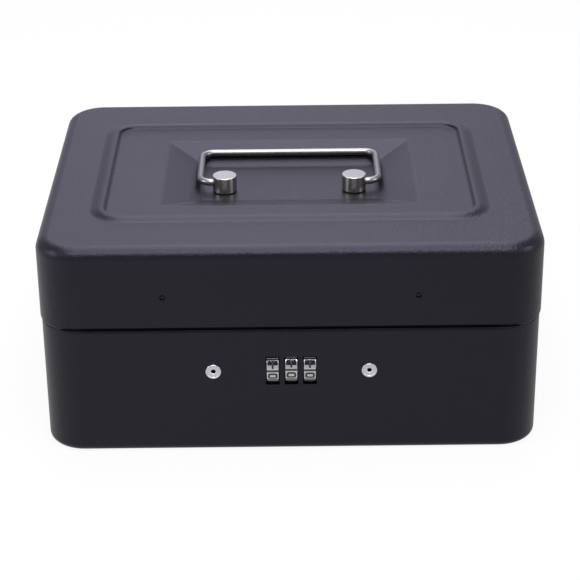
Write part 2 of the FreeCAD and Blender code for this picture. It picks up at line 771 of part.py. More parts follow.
def handle_bail():
    """Round wire, bent square, with its two ends turned in to the posts."""
    body = new_body("handle_bail")
    path = plane_sketch(body, "bail_path", offset="pivot_level")
    ends = "-post_forward"
    corners = [
        ("-(wire_end)", ends),
        ("-(leg_line)", ends),
        ("-(leg_line)", "bar_line"),
        ("leg_line", "bar_line"),
        ("leg_line", ends),
        ("wire_end", ends),
    ]
    square_path(path, corners, "bail_bend", closed=False)
    section = plane_sketch(body, "bail_section", "YZ_Plane", "-(wire_end)")
    centre = Vector(value(ends), value("pivot_level"), 0)
    ring = sketch_circle(section, centre, "wire_radius")
    hold_point(section, ring, 3, ends, "pivot_level")
    wire = feature(body, "AdditivePipe", "bail_wire", section)
    wire.Spine = path
    return body


def sketch_circle(sketch, centre, radius):
    ring = sketch.addGeometry(Part.Circle(centre, Vector(0, 0, 1), value(radius)), False)
    hold(sketch, "Radius", radius, ring)
    return ring


def post_screw(side, sign):
    """A slotted screw up into a post, its head below the washer."""
    under = "washer_bottom - post_screw_head_height"
    tip = "well_floor + post_screw_grip"
    points = [
        (under, "0"),
        (under, "post_screw_head"),
        ("washer_bottom", "post_screw_head"),
        ("washer_bottom", "post_screw_radius"),
        (tip, "post_screw_radius"),
        (tip, "0"),
    ]
    x = f"{sign} * post_side"
    blank = turned(f"post_screw_blank_{side}", "Z", points, x=x, y="-post_forward")
    across = (f"{x} - post_screw_head", f"{x} + post_screw_head")
    along = ("-post_forward - screw_slot_width / 2", "-post_forward + screw_slot_width / 2")
    slot = block(f"post_screw_slot_{side}", across, along, (under, f"{under} + screw_slot_depth"))
    return cut(f"post_screw_{side}", blank, [slot])


def post_washer(side, sign):
    hole = "post_screw_radius + screw_clearance"
    points = [
        ("washer_bottom", hole),
        ("washer_bottom", "washer_radius"),
        ("washer_top", "washer_radius"),
        ("washer_top", hole),
    ]
    return turned(f"post_washer_{side}", "Z", points, x=f"{sign} * post_side", y="-post_forward")


def handle():
    posts = [handle_post(side, sign) for side, sign in BOTH_SIDES.items()]
    screws = [post_screw(side, sign) for side, sign in BOTH_SIDES.items()]
    washers = [post_washer(side, sign) for side, sign in BOTH_SIDES.items()]
    return posts + [handle_bail(), group("post_screws", screws), group("post_washers", washers)]


# Strike

def strike_plate():
    """A strip riveted inside the lid's front wall, with a tongue that hangs beside the lock."""
    ends = ("-(strike_rivet_spread + strike_end_margin)", "strike_rivet_spread + strike_end_margin")
    against = ("-lid_inside_front", "-(strike_back)")
    strip = block("strike_strip", ends, against, ("strike_bottom", "strike_level + strike_top_margin"))
    middle = "tongue_left + tongue_gauge / 2"
    across = (f"{middle} - tongue_flange / 2", f"{middle} + tongue_flange / 2")
    front = "-(axle_line + tongue_front_margin)"
    back = "-(axle_line - tongue_back_margin)"
    shelf_top = "strike_bottom + leaf_gauge"
    shelf = block("strike_shelf", across, ("-lid_inside_front", back), ("strike_bottom", shelf_top))
    tongue = new_body("strike_tongue")
    outline = plane_sketch(tongue, "tongue_outline", "YZ_Plane", "tongue_left")
    tip = "lock_height - tongue_tip"
    points = [
        (front, f"{tip} + tongue_chamfer"),
        (f"{front} + tongue_chamfer", tip),
        (back, tip),
        (back, shelf_top),
        (front, shelf_top),
    ]
    polygon(outline, points)
    feature(tongue, "Pad", "tongue_sheet", outline, Length="tongue_gauge")
    start = ("tongue_left - tongue_gauge", "-(axle_line)", "lock_height")
    radius = "bolt_radius + tongue_hole_clearance"
    cutters = [rod("tongue_hole", start, "3 * tongue_gauge", radius, ALONG_X)]
    for side, sign in BOTH_SIDES.items():
        start = (f"{sign} * strike_rivet_spread", "-(lid_front)", "strike_level")
        radius = "strike_rivet_radius + rivet_clearance"
        cutters.append(rod(f"strike_strip_hole_{side}", start, "3 * sheet_gauge", radius, ALONG_Y))
    return cut("strike_plate", join("strike_blank", [strip, shelf, tongue]), cutters)


def strike_rivets():
    """Rivets that end just under the paint, with a dimple in the middle."""
    face = "-lid_front + strike_rivet_sink"
    dimple = f"{face} + strike_rivet_dimple"
    inner = "-(strike_back)"
    points = [
        (dimple, "0"),
        (dimple, "strike_rivet_dimple"),
        (face, "strike_rivet_dimple"),
        (face, "strike_rivet_radius"),
        (inner, "strike_rivet_radius"),
        (inner, "strike_rivet_upset"),
        (f"{inner} + hinge_rivet_head_height", "strike_rivet_upset"),
        (f"{inner} + hinge_rivet_head_height", "0"),
    ]
    rivets = []
    for side, sign in BOTH_SIDES.items():
        x = f"{sign} * strike_rivet_spread"
        rivets.append(turned(f"strike_rivet_{side}", "Y", points, x=x, z="strike_level"))
    return group("strike_rivets", rivets)


# Combination lock

def across_lock(half):
    """A span of height about the lock's own axis."""
    return (f"lock_height - ({half})", f"lock_height + ({half})")


def axle_rod(name, left, right, radius):
    """A round bar on the lock's axis between two places along it."""
    start = (left, "-(axle_line)", "lock_height")
    return rod(name, start, f"({right}) - ({left})", radius, ALONG_X)


def around_axle(angle, radius):
    """A point on a circle about the lock's axis, as formulas for depth and height."""
    depth = f"-(axle_line) + ({radius}) * {math.cos(angle):.9f}"
    height = f"lock_height + ({radius}) * {math.sin(angle):.9f}"
    return depth, height


def lock_frame():
    """A plate riveted behind the front wall, with two ears that carry the bolt."""
    plate_y = ("-base_inside_front", "-(plate_back)")
    tall = across_lock("lock_plate_height / 2")
    parts = [block("lock_plate_blank", ("-(plate_side)", "plate_side"), plate_y, tall)]
    ear_half = "bolt_radius + ear_margin"
    ear_y = ("-(plate_back)", f"-(axle_line) + {ear_half}")
    ears = {"left": "left_ear - lock_plate", "right": "right_ear"}
    for side, x in ears.items():
        parts.append(block(f"lock_ear_{side}", (x, f"{x} + lock_plate"), ear_y, across_lock(ear_half)))
    reach = ("cover_left", "cover_right + tongue_gap")
    cutters = [axle_rod("lock_ear_bores", *reach, "bolt_radius + bolt_clearance")]
    opening = ("frame_window_left", "frame_window_right")
    through = ("-(base_front)", "-(plate_back - lock_plate)")
    cutters.append(block("frame_window", opening, through, across_lock("frame_window_half")))
    for side, sign in BOTH_SIDES.items():
        start = (f"{sign} * lock_rivet_span / 2", "-(base_front)", "lock_height")
        radius = "lock_rivet_shank + rivet_clearance"
        cutters.append(rod(f"frame_rivet_hole_{side}", start, "3 * lock_plate", radius, ALONG_Y))
        cutters.append(cover_screw_hole(f"frame_screw_hole_{side}", sign))
    return cut("lock_frame", join("lock_frame_blank", parts), cutters)


def cover_screw_hole(name, sign):
    start = ("cover_middle", "-(base_inside_front)", f"lock_height + {sign} * (cover_screw_lift)")
    return rod(name, start, "3 * lock_plate", "cover_screw_radius + screw_clearance", ALONG_Y)


def lock_rivets():
    """Tubular rivets whose crowned heads show on the front of the box."""
    face = "-base_front"
    inner = "-(plate_back)"
    upset = f"{inner} + lock_rivet_crown"
    points = [
        (upset, "lock_rivet_hole"),
        (upset, "lock_rivet_upset"),
        (inner, "lock_rivet_upset"),
        (inner, "lock_rivet_shank"),
        (face, "lock_rivet_shank"),
        (face, "lock_rivet_head"),
        (f"{face} - lock_rivet_edge", "lock_rivet_head"),
        (f"{face} - lock_rivet_crown", "lock_rivet_head - lock_rivet_crown"),
        (f"{face} - lock_rivet_crown", "lock_rivet_hole + lock_rivet_edge"),
        (f"{face} - lock_rivet_crown + lock_rivet_edge", "lock_rivet_hole"),
    ]
    rivets = []
    for side, sign in BOTH_SIDES.items():
        x = f"{sign} * lock_rivet_span / 2"
        rivets.append(turned(f"lock_rivet_{side}", "Y", points, x=x, z="lock_height"))
    return group("lock_rivets", rivets)


def lock_cover():
    """A pressed box over the back of the lock, held by two screws through its tabs."""
    back = "-(cover_back - cover_gauge)"
    outer_half = "cover_half + cover_gauge"
    front = "-(plate_back)"
    parts = [block("cover_blank", ("cover_left", "cover_right"), (front, back), across_lock(outer_half))]
    tab_x = ("cover_middle - cover_tab_width / 2", "cover_middle + cover_tab_width / 2")
    tab_half = f"{outer_half} + cover_tab_height"
    parts.append(block("cover_tabs", tab_x, (front, f"{front} + cover_gauge"), across_lock(tab_half)))
    inside_x = ("cover_left + cover_gauge", "cover_right - cover_gauge")
    inside_y = (f"{front} - cover_gauge", "-(cover_back)")
    cutters = [block("cover_room", inside_x, inside_y, across_lock("cover_half"))]
    reach = ("cover_right - 2 * cover_gauge", "cover_right + cover_gauge")
    cutters.append(axle_rod("cover_bolt_hole", *reach, "bolt_radius + 2 * bolt_clearance"))
    slot_x = (
        "-(groove_left) - thumb_tab_width / 2 - slide_clearance",
        "-(groove_left) + thumb_tab_width / 2 + slide_travel + slide_clearance",
    )
    slot_y = ("-(cover_back + cover_gauge)", f"{back} + cover_gauge")
    slot_half = "thumb_tab_width / 2 + slide_clearance"
    cutters.append(block("cover_tab_slot", slot_x, slot_y, across_lock(slot_half)))
    cutters += [cover_screw_hole(f"cover_hole_{side}", sign) for side, sign in BOTH_SIDES.items()]
    return cut("lock_cover", join("cover_pressing", parts), cutters)


def cover_screws():
    seat = "-(plate_back) + cover_gauge"
    top = f"{seat} + cover_screw_head_height"
    tip = "-(base_inside_front) + screw_clearance"
    points = [
        (tip, "0"),
        (tip, "cover_screw_radius"),
        (seat, "cover_screw_radius"),
        (seat, "cover_screw_head"),
        (top, "cover_screw_head"),
        (top, "0"),
    ]
    screws = []
    for side, sign in BOTH_SIDES.items():
        level = f"lock_height + {sign} * (cover_screw_lift)"
        blank = turned(f"cover_screw_blank_{side}", "Y", points, x="cover_middle", z=level)
        slot_x = ("cover_middle - cover_screw_head", "cover_middle + cover_screw_head")
        slot_y = (f"{top} - screw_slot_depth", top)
        slot_z = (f"{level} - screw_slot_width / 2", f"{level} + screw_slot_width / 2")
        slot = block(f"cover_screw_slot_{side}", slot_x, slot_y, slot_z)
        screws.append(cut(f"cover_screw_{side}", blank, [slot]))
    return group("cover_screws", screws)


def dial(side, spot):
    """A ten sided wheel, notched inside at its left end for the teeth of its code ring."""
    name = f"dial_{side}"
    middle = f"{spot} * wheel_pitch"
    left = f"{middle} - wheel_half"
    step = f"{middle} - notch_end"
    wheel = doc.addObject("Part::Prism", name + "_blank")
    wheel.Polygon = FACETS
    wheel.Placement.Rotation = EDGE_TO_FRONT
    bind(wheel, "Circumradius", "wheel_radius")
    bind(wheel, "Height", "wheel_width")
    place(wheel, left, "-(axle_line)", "lock_height")
    bore = "ring_radius + ring_clearance"
    cutters = [axle_rod(name + "_bore", f"{left} - wheel_half", step, bore)]
    wide = f"{bore} + tooth_radius + tooth_clearance"
    cutters.append(axle_rod(name + "_relief", step, f"{middle} + wheel_width", wide))
    for number in range(FACETS):
        depth, height = around_axle(2 * math.pi * number / FACETS, "ring_radius")
        start = (f"{left} - wheel_half", depth, height)
        notch = "tooth_radius + tooth_clearance"
        length = f"{step} - ({left}) + wheel_half"
        cutters.append(rod(f"{name}_notch_{number}", start, length, notch, ALONG_X))
    return cut(name, wheel, cutters)


def code_ring(side, spot):
    """The ring inside a dial: a slotted web that stops the bolt's fin, teeth, and a grooved collar."""
    name = f"code_ring_{side}"
    bore = "bolt_radius + bolt_clearance"
    half_web = "ring_web / 2"
    points = [
        ("-(collar_end)", bore),
        ("-(collar_end)", "collar_lip_radius"),
        ("-(groove_left)", "collar_lip_radius"),
        ("-(groove_left)", "collar_groove_radius"),
        ("-(groove_right)", "collar_groove_radius"),
        ("-(groove_right)", "collar_lip_radius"),
        ("-(wheel_half)", "collar_lip_radius"),
        ("-(wheel_half)", "ring_radius"),
        ("ring_tail", "ring_radius"),
        ("ring_tail", "ring_recess"),
        (half_web, "ring_recess"),
        (half_web, bore),
        (f"-({half_web})", bore),
        (f"-({half_web})", "ring_recess"),
        ("-(recess_left)", "ring_recess"),
        ("-(recess_left)", bore),
    ]
    middle = f"{spot} * wheel_pitch"
    parts = [turned(name + "_blank", "X", points, x=middle, y="-(axle_line)", z="lock_height")]
    for number in (0, FACETS // 2):
        depth, height = around_axle(2 * math.pi * number / FACETS, "ring_radius")
        start = (f"{middle} - tooth_setback - tooth_length", depth, height)
        parts.append(rod(f"{name}_tooth_{number}", start, "tooth_length", "tooth_radius", ALONG_X))
    half_key = "fin_width / 2 + keyway_clearance"
    key_x = (f"{middle} - collar_end - ring_web", f"{middle} + wheel_width")
    key_y = (f"-(axle_line) - ({half_key})", f"-(axle_line) + {half_key}")
    key_z = ("lock_height - fin_reach - keyway_clearance", "lock_height")
    bores = [block(name + "_keyway", key_x, key_y, key_z)]
    bores.append(axle_rod(name + "_clear_bore", f"{middle} - ring_web", f"{middle} + ring_web", bore))
    return cut(name, join(name + "_toothed", parts), bores)


def lock_bolt():
    """The sprung bolt: a spindle through all three wheels, a fin in each, and a cone nose."""
    tail = "left_ear - lock_plate - bolt_tail"
    neck = "bolt_radius - clip_groove"
    tip = "bolt_shoulder + bolt_nose"
    clip_from = "clip_left - bolt_clearance"
    clip_to = "clip_right + bolt_clearance"
    points = [
        (tail, "0"),
        (tail, "bolt_radius"),
        (clip_from, "bolt_radius"),
        (clip_from, neck),
        (clip_to, neck),
        (clip_to, "bolt_radius"),
        ("bolt_shoulder", "bolt_radius"),
        (tip, "bolt_tip_radius"),
        (tip, "0"),
    ]
    parts = [turned("bolt_spindle", "X", points, y="-(axle_line)", z="lock_height")]
    for side, spot in WHEELS.items():
        x = f"{spot} * wheel_pitch + fin_left"
        y = ("-(axle_line) - fin_width / 2", "-(axle_line) + fin_width / 2")
        z = ("lock_height - fin_reach", "lock_height - bolt_radius / 2")
        parts.append(block(f"bolt_fin_{side}", (x, f"{x} + fin_width"), y, z))
    return join("lock_bolt", parts)


def spring_clip():
    """An open clip in the bolt's groove, which the spring pushes on."""
    neck = "bolt_radius - clip_groove + bolt_clearance"
    disc = axle_rod("clip_disc", "clip_left", "clip_right", "clip_radius")
    bore = axle_rod("clip_bore", "clip_left - clip_gauge", "clip_right + clip_gauge", neck)
    mouth_y = (f"-(axle_line) - ({neck})", f"-(axle_line) + {neck}")
    mouth_x = ("clip_left - clip_gauge", "clip_right + clip_gauge")
    mouth = block("clip_mouth", mouth_x, mouth_y, ("lock_height - 2 * clip_radius", "lock_height"))
    return cut("spring_clip", disc, [bore, mouth])


def bolt_spring():
    """A coil between the left ear and the clip, with a face for each turn."""
    coil = doc.addObject("Part::Helix", "spring_line")
    coil.SegmentLength = 1
    start = "left_ear + spring_wire"
    bind(coil, "Radius", "spring_radius")
    bind(coil, "Height", "spring_length - 2 * spring_wire")
    bind(coil, "Pitch", "(spring_length - 2 * spring_wire) / spring_turns")
    coil.Placement.Rotation = ALONG_X
    place(coil, start, "-(axle_line)", "lock_height")
    section = doc.addObject("Part::Circle", "spring_section")
    bind(section, "Radius", "spring_wire")
    section.Placement.Rotation = ALONG_Y
    place(section, start, "-(axle_line)", "lock_height - spring_radius")
    wire = doc.addObject("Part::Sweep", "bolt_spring")
    wire.Sections = [section]
    wire.Spine = coil
    wire.Solid = True
    wire.Frenet = True
    return wire


def detent_spring():
    """A leaf on the lock plate with one finger under each wheel."""
    top = "lock_height - wheel_radius - detent_clearance"
    front = "-(plate_back)"
    half = "wheel_pitch + detent_finger_width / 2"
    root = (f"{top} - 3 * detent_gauge", top)
    parts = [block("detent_strip", (f"-({half})", half), (front, f"{front} + detent_gauge"), root)]
    for side, spot in WHEELS.items():
        x = f"{spot} * wheel_pitch - detent_finger_width / 2"
        finger = (f"{top} - detent_gauge", top)
        span = (front, f"{front} + detent_reach")
        parts.append(block(f"detent_finger_{side}", (x, f"{x} + detent_finger_width"), span, finger))
    return join("detent_spring", parts)


def code_change_slide():
    """A bar behind the wheels with a fork in each ring's groove and a thumb tab through the cover."""
    half = "fork_slot + fork_wall"
    bar_front = "-(slide_bar_front)"
    bar_back = "-(slide_bar_front - slide_bar)"
    fork_x = {}
    for side, spot in WHEELS.items():
        left = f"{spot} * wheel_pitch - groove_left + fork_clearance"
        fork_x[side] = (left, f"{left} + fork_gauge")
    bar_x = (fork_x["left"][0], fork_x["right"][1])
    parts = [block("slide_bar", bar_x, (bar_front, bar_back), across_lock("fork_slot"))]
    fork_y = ("-(axle_line + fork_reach)", bar_back)
    for side, x in fork_x.items():
        parts.append(block(f"slide_fork_{side}", x, fork_y, across_lock(half)))
    tab_x = ("-(groove_left) - thumb_tab_width / 2", "-(groove_left) + thumb_tab_width / 2")
    tab_y = (bar_back, "-(cover_back - cover_gauge) + thumb_tab_reach")
    parts.append(block("slide_tab", tab_x, tab_y, across_lock("thumb_tab_width / 2")))
    slot_x = (f"{fork_x['left'][0]} - fork_gauge", f"{fork_x['right'][1]} + fork_gauge")
    slot_y = ("-(axle_line + 2 * fork_reach)", "-(axle_line) + fork_slot")
    slot = block("slide_fork_slot", slot_x, slot_y, across_lock("fork_slot"))
    return cut("code_change_slide", join("slide_blank", parts), [slot])


def lock():
    pieces = [lock_frame(), lock_rivets(), lock_cover(), cover_screws()]
    pieces += [lock_bolt(), spring_clip(), bolt_spring(), detent_spring(), code_change_slide()]
    for side, spot in WHEELS.items():
        pieces += [dial(side, spot), code_ring(side, spot)]
    return pieces


# Coin tray

def coin_tray():
    """A moulded tray that hangs on the side rims by two flanges."""
    body = new_body("tray_moulding")
    outline = plane_sketch(body, "tray_outline", offset="tray_bottom")
    middle = ("0", "(tray_back - tray_front) / 2")
    rounded_rectangle(outline, "tray_side", "(tray_back + tray_front) / 2", "tray_corner_radius", middle)
    feature(body, "Pad", "tray_block", outline, Length="tray_depth")
    cups = plane_sketch(body, "tray_cups", offset="tray_top")
    note_half = "note_cup_width / 2"
    note_middle = ("0", f"note_cup_front + {note_half}")
    rounded_rectangle(cups, "tray_side - tray_wall", note_half, "cup_corner", note_middle)
    coin_half_x = f"((tray_side - tray_wall) * 2 - {COIN_CUPS - 1} * tray_wall) / {2 * COIN_CUPS}"
    coin_half_y = "(note_cup_front - 2 * tray_wall + tray_front) / 2"
    coin_middle_y = "(note_cup_front - tray_front) / 2"
    for number in range(COIN_CUPS):
        offset = number - (COIN_CUPS - 1) / 2
        coin_middle = (f"{offset} * (2 * {coin_half_x} + tray_wall)", coin_middle_y)
        rounded_rectangle(cups, coin_half_x, coin_half_y, "cup_corner", coin_middle)
    hollows = feature(body, "Pocket", "tray_hollows", cups, Length="tray_depth - tray_wall")
    doc.recompute()
    edges = level_edges(hollows, "tray_bottom + tray_wall")
    soften(body, "Fillet", "tray_floor_rounds", hollows, edges, Radius="cup_floor_radius")
    parts = [body]
    along = ("-(tray_front) + tray_flange_setback", "tray_back - tray_flange_setback")
    reach = "rim_side - tray_flange_margin"
    spans = {"left": (f"-({reach})", "-(tray_side - tray_wall)"), "right": ("tray_side - tray_wall", reach)}
    for side, x in spans.items():
        parts.append(block(f"tray_flange_{side}", x, along, ("rim_top", "tray_top")))
    return join("coin_tray", parts)


# All pieces, checked and written

def fault(thing):
    """Words for what is wrong with an object, or nothing."""
    if "Invalid" in thing.State or "Error" in thing.State:
        return f"{thing.Name}: {thing.getStatusString()}"
    return ""


def main():
    nodes = [base_shell(), lid_shell(), strike_plate(), strike_rivets(), coin_tray()]
    nodes += hinge() + handle() + lock()
    doc.recompute()
    faults = [fault(thing) for thing in doc.Objects if fault(thing)]
    faults += [node.Name for node in nodes if node.Shape.isNull() or not node.Shape.isValid()]
    if faults:
        raise RuntimeError("; ".join(faults))
    os.makedirs("parts", exist_ok=True)
    for node in nodes:
        node.Label = node.Name
        node.Shape.exportStep(f"parts/{node.Label}.step")
        print(f"{node.Label}: {len(node.Shape.Solids)} solids, {node.Shape.Volume:.1f} mm3")


main()
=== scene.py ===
import json
import math

import bmesh
import bpy
from bpy.props import FloatProperty, FloatVectorProperty, PointerProperty
from mathutils import Matrix, Vector


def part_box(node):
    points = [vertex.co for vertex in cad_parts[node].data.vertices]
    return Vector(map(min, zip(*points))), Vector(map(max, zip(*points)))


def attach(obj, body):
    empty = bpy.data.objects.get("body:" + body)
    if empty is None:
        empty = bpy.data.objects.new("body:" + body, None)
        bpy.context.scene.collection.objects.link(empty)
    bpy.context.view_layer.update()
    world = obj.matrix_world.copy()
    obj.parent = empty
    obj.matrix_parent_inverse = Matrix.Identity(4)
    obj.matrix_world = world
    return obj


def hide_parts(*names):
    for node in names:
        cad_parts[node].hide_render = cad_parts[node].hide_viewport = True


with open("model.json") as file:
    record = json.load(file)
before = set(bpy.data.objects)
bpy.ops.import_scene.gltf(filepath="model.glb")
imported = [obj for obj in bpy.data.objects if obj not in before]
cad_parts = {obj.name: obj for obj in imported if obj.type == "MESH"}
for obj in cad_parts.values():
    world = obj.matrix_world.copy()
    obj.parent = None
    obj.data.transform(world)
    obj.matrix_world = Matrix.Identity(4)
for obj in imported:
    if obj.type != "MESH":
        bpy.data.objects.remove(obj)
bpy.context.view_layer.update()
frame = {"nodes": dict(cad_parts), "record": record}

bl_info = {
    "name": "Cash box",
    "version": (1, 0, 0),
    "blender": (4, 5, 0),
    "location": "3D View > Sidebar > Cash box",
    "description": "Dresses the frame of a steel cash box with its finishes, dials and stage",
    "category": "Object",
}

MM = 0.001
SIDES = ("left", "middle", "right")


# Node maths

class Signal:
    """An output socket. Arithmetic with numbers and other signals adds Math nodes."""

    def __init__(self, graph, socket):
        self.graph = graph
        self.socket = socket

    def math(self, operation, first, second):
        return self.graph.node("ShaderNodeMath", {"operation": operation}, {0: first, 1: second})

    def __add__(self, other):
        return self.math("ADD", self, other)

    def __radd__(self, other):
        return self.math("ADD", other, self)

    def __sub__(self, other):
        return self.math("SUBTRACT", self, other)

    def __rsub__(self, other):
        return self.math("SUBTRACT", other, self)

    def __mul__(self, other):
        return self.math("MULTIPLY", self, other)

    def __rmul__(self, other):
        return self.math("MULTIPLY", other, self)

    def __truediv__(self, other):
        return self.math("DIVIDE", self, other)

    def __rtruediv__(self, other):
        return self.math("DIVIDE", other, self)


class Graph:
    """A node tree that is filled one node at a time."""

    def __init__(self, tree):
        self.tree = tree
        tree.nodes.clear()

    def node(self, kind, settings=None, inputs=None, output=0):
        """Adds a node, with its settings first and then the values or links of its sockets."""
        made = self.tree.nodes.new(kind)
        for name, value in (settings or {}).items():
            setattr(made, name, value)
        for key, value in (inputs or {}).items():
            if isinstance(value, Signal):
                self.tree.links.new(value.socket, made.inputs[key])
            else:
                made.inputs[key].default_value = value
        return Signal(self, made.outputs[output]) if made.outputs else made

    def place(self):
        """Where a point of the piece lies in the row frame, in metres."""
        return self.node("ShaderNodeTexCoord", output="Object")

    def split(self, vector, axis):
        """One part of a vector, by the name of its axis."""
        return self.node("ShaderNodeSeparateXYZ", None, {0: vector}, output="XYZ".index(axis))

    def stretch(self, vector, axis, share):
        """The vector with its parts off the axis made small, so that a texture runs across the axis."""
        scale = tuple(1.0 if name == axis else share for name in "XYZ")
        return self.node("ShaderNodeVectorMath", {"operation": "MULTIPLY"}, {0: vector, 1: scale})

    def noise(self, where, size, detail=2.0, roughness=0.5):
        """Smooth noise from 0 to 1, with blotches of about the given size."""
        inputs = {"Vector": where, "Scale": 1 / size, "Detail": detail, "Roughness": roughness}
        return self.node("ShaderNodeTexNoise", None, inputs)

    def ramp(self, value, low, high):
        """The value, drawn out so that low gives 0 and high gives 1."""
        inputs = {0: value, 1: low, 2: high}
        return self.node("ShaderNodeMapRange", {"clamp": True}, inputs)

    def blend(self, factor, first, second):
        """One colour fading to another."""
        settings = {"data_type": "RGBA"}
        return self.node("ShaderNodeMix", settings, {0: factor, 6: first, 7: second}, output=2)

    def bump(self, height, depth):
        """Normals of a relief whose height runs from 0 to 1 over the given depth."""
        inputs = {"Height": height, "Distance": depth, "Strength": 1.0}
        return self.node("ShaderNodeBump", None, inputs)

    def shader(self, inputs):
        return self.node("ShaderNodeBsdfPrincipled", None, inputs)

    def show(self, shader):
        self.node("ShaderNodeOutputMaterial", None, {"Surface": shader})

    def surface(self, inputs):
        """A Principled shader on the output."""
        self.show(self.shader(inputs))


def new_finish(name):
    """A new material and the graph of its nodes."""
    material = bpy.data.materials.new(name)
    material.use_nodes = True
    return material, Graph(material.node_tree)


def rgba(colour):
    """The colour with full alpha."""
    return (*colour, 1.0)


def shade(colour, factor):
    """The colour made darker or lighter."""
    return tuple(channel * factor for channel in colour)


def swing(noise, span):
    """Noise from 0 to 1, moved so that it changes by the span about 0."""
    return (noise - 0.5) * span


# Values that a user would change

class CoatSettings(bpy.types.PropertyGroup):
    colour: FloatVectorProperty(
        name="Colour", description="Colour of the powder coat", subtype="COLOR",
        default=(0.0044, 0.0041, 0.0052))
    ior: FloatProperty(
        name="IOR", description="Refraction of the coat, which sets its sheen at low angles", default=1.7)
    gloss: FloatVectorProperty(
        name="Gloss", description="Tint of the coat's reflection, seen straight on", subtype="COLOR",
        default=(0.375, 0.361, 0.469))
    roughness: FloatProperty(
        name="Roughness", description="Mean roughness of the coat", subtype="FACTOR", default=0.34)
    grain: FloatProperty(
        name="Grain", description="Size of the coat's grains", unit="LENGTH", default=0.8 * MM)
    grain_depth: FloatProperty(
        name="Grain depth", description="Height of the grains", unit="LENGTH", default=0.13 * MM)


class MetalSettings(bpy.types.PropertyGroup):
    nickel: FloatVectorProperty(
        name="Nickel", description="Colour of the posts", subtype="COLOR",
        default=(0.572, 0.564, 0.503))
    rivet: FloatVectorProperty(
        name="Rivet", description="Colour of the lock's rivets", subtype="COLOR",
        default=(0.76, 0.745, 0.79))
    wire: FloatVectorProperty(
        name="Wire", description="Colour of the handle's wire", subtype="COLOR",
        default=(0.32, 0.31, 0.296))
    chrome: FloatVectorProperty(
        name="Chrome", description="Colour of the dials", subtype="COLOR",
        default=(0.68, 0.665, 0.685))
    zinc: FloatVectorProperty(
        name="Zinc", description="Colour of the plated steel inside", subtype="COLOR",
        default=(0.44, 0.44, 0.425))
    brass: FloatVectorProperty(
        name="Brass", description="Colour of the code rings", subtype="COLOR",
        default=(0.055, 0.042, 0.026))
    spring: FloatVectorProperty(
        name="Spring steel", description="Colour of the springs", subtype="COLOR",
        default=(0.36, 0.36, 0.38))


class TraySettings(bpy.types.PropertyGroup):
    colour: FloatVectorProperty(
        name="Colour", description="Colour of the moulded tray", subtype="COLOR",
        default=(0.014, 0.014, 0.015))
    grain: FloatProperty(
        name="Grain", description="Size of the moulded grain", unit="LENGTH", default=0.5 * MM)


class DialSettings(bpy.types.PropertyGroup):
    ink: FloatVectorProperty(
        name="Ink", description="Colour of the digits", subtype="COLOR",
        default=(0.012, 0.012, 0.013))
    digit_height: FloatProperty(
        name="Digit height", description="Height of a digit", unit="LENGTH", default=2.8 * MM)
    digit_width: FloatProperty(
        name="Digit width", description="Width of a digit", unit="LENGTH", default=3.85 * MM)
    stroke: FloatProperty(
        name="Stroke", description="Width of a digit's strokes", unit="LENGTH", default=0.8 * MM)
    relief: FloatProperty(
        name="Relief", description="Height of the ink over the facet", unit="LENGTH", default=0.03 * MM)
    inset: FloatProperty(
        name="Inset", description="How far the wheel stays inside its outline", unit="LENGTH",
        default=0.2 * MM)
    facet: FloatProperty(
        name="Facet", description="Length of a facet between grooves", unit="LENGTH", default=3.7 * MM)
    crown: FloatProperty(
        name="Crown", description="How far a facet bulges in its middle", unit="LENGTH",
        default=0.24 * MM)
    groove_depth: FloatProperty(
        name="Groove depth", description="Depth of the groove between facets", unit="LENGTH",
        default=0.5 * MM)
    edge: FloatProperty(
        name="Edge", description="Radius of the wheel's rims", unit="LENGTH", default=0.3 * MM)
    bore: FloatProperty(
        name="Bore", description="Radius of the hole for the code ring", unit="LENGTH", default=5.6 * MM)
    rest_turn: FloatVectorProperty(
        name="Rest turn", description="How far each wheel stands past its detent", subtype="EULER",
        default=(math.radians(4.4), math.radians(8.4), math.radians(6.5)))


class StageSettings(bpy.types.PropertyGroup):
    floor: FloatVectorProperty(
        name="Floor", description="Colour of the floor", subtype="COLOR",
        default=(0.95, 0.95, 0.95))
    backdrop: FloatProperty(
        name="Backdrop", description="Brightness of the backdrop in the finishes", default=1.05)
    backdrop_tint: FloatVectorProperty(
        name="Backdrop tint", description="Colour of the backdrop in the finishes", subtype="COLOR",
        default=(0.82, 0.785, 1.0))
    falloff: FloatProperty(
        name="Falloff", description="How fast the backdrop darkens to the sides", default=27.0)
    room: FloatProperty(
        name="Room", description="Brightness of the room behind the camera", default=0.59)
    shade: FloatProperty(
        name="Shade", description="Share of the room's brightness that is left over the camera",
        default=0.05)
    ambient: FloatProperty(
        name="Ambient", description="Light of the studio's walls on the object", default=0.15)
    light_tint: FloatVectorProperty(
        name="Light tint", description="Colour of the lamps", subtype="COLOR",
        default=(0.945, 0.93, 1.0))
    lens: FloatProperty(
        name="Lens", description="Focal length in millimetres", unit="CAMERA", default=116.65)
    elevation: FloatProperty(
        name="Elevation", description="Camera's angle above the floor", subtype="ANGLE",
        default=math.radians(26.24))
    roll: FloatProperty(
        name="Roll", description="Camera's turn about its own line of sight", subtype="ANGLE",
        default=math.radians(-0.606))
    distance: FloatProperty(
        name="Distance", description="Camera's distance from its target", unit="LENGTH", default=0.8195)
    target: FloatVectorProperty(
        name="Target", description="Point that the camera looks at", subtype="TRANSLATION",
        default=(-0.0002, 0, 0.0329))


class CashBoxSettings(bpy.types.PropertyGroup):
    coat: PointerProperty(type=CoatSettings)
    metal: PointerProperty(type=MetalSettings)
    tray: PointerProperty(type=TraySettings)
    dial: PointerProperty(type=DialSettings)
    stage: PointerProperty(type=StageSettings)


def settings():
    """The values of the scene at hand."""
    return bpy.context.scene.cash_box


# Finishes

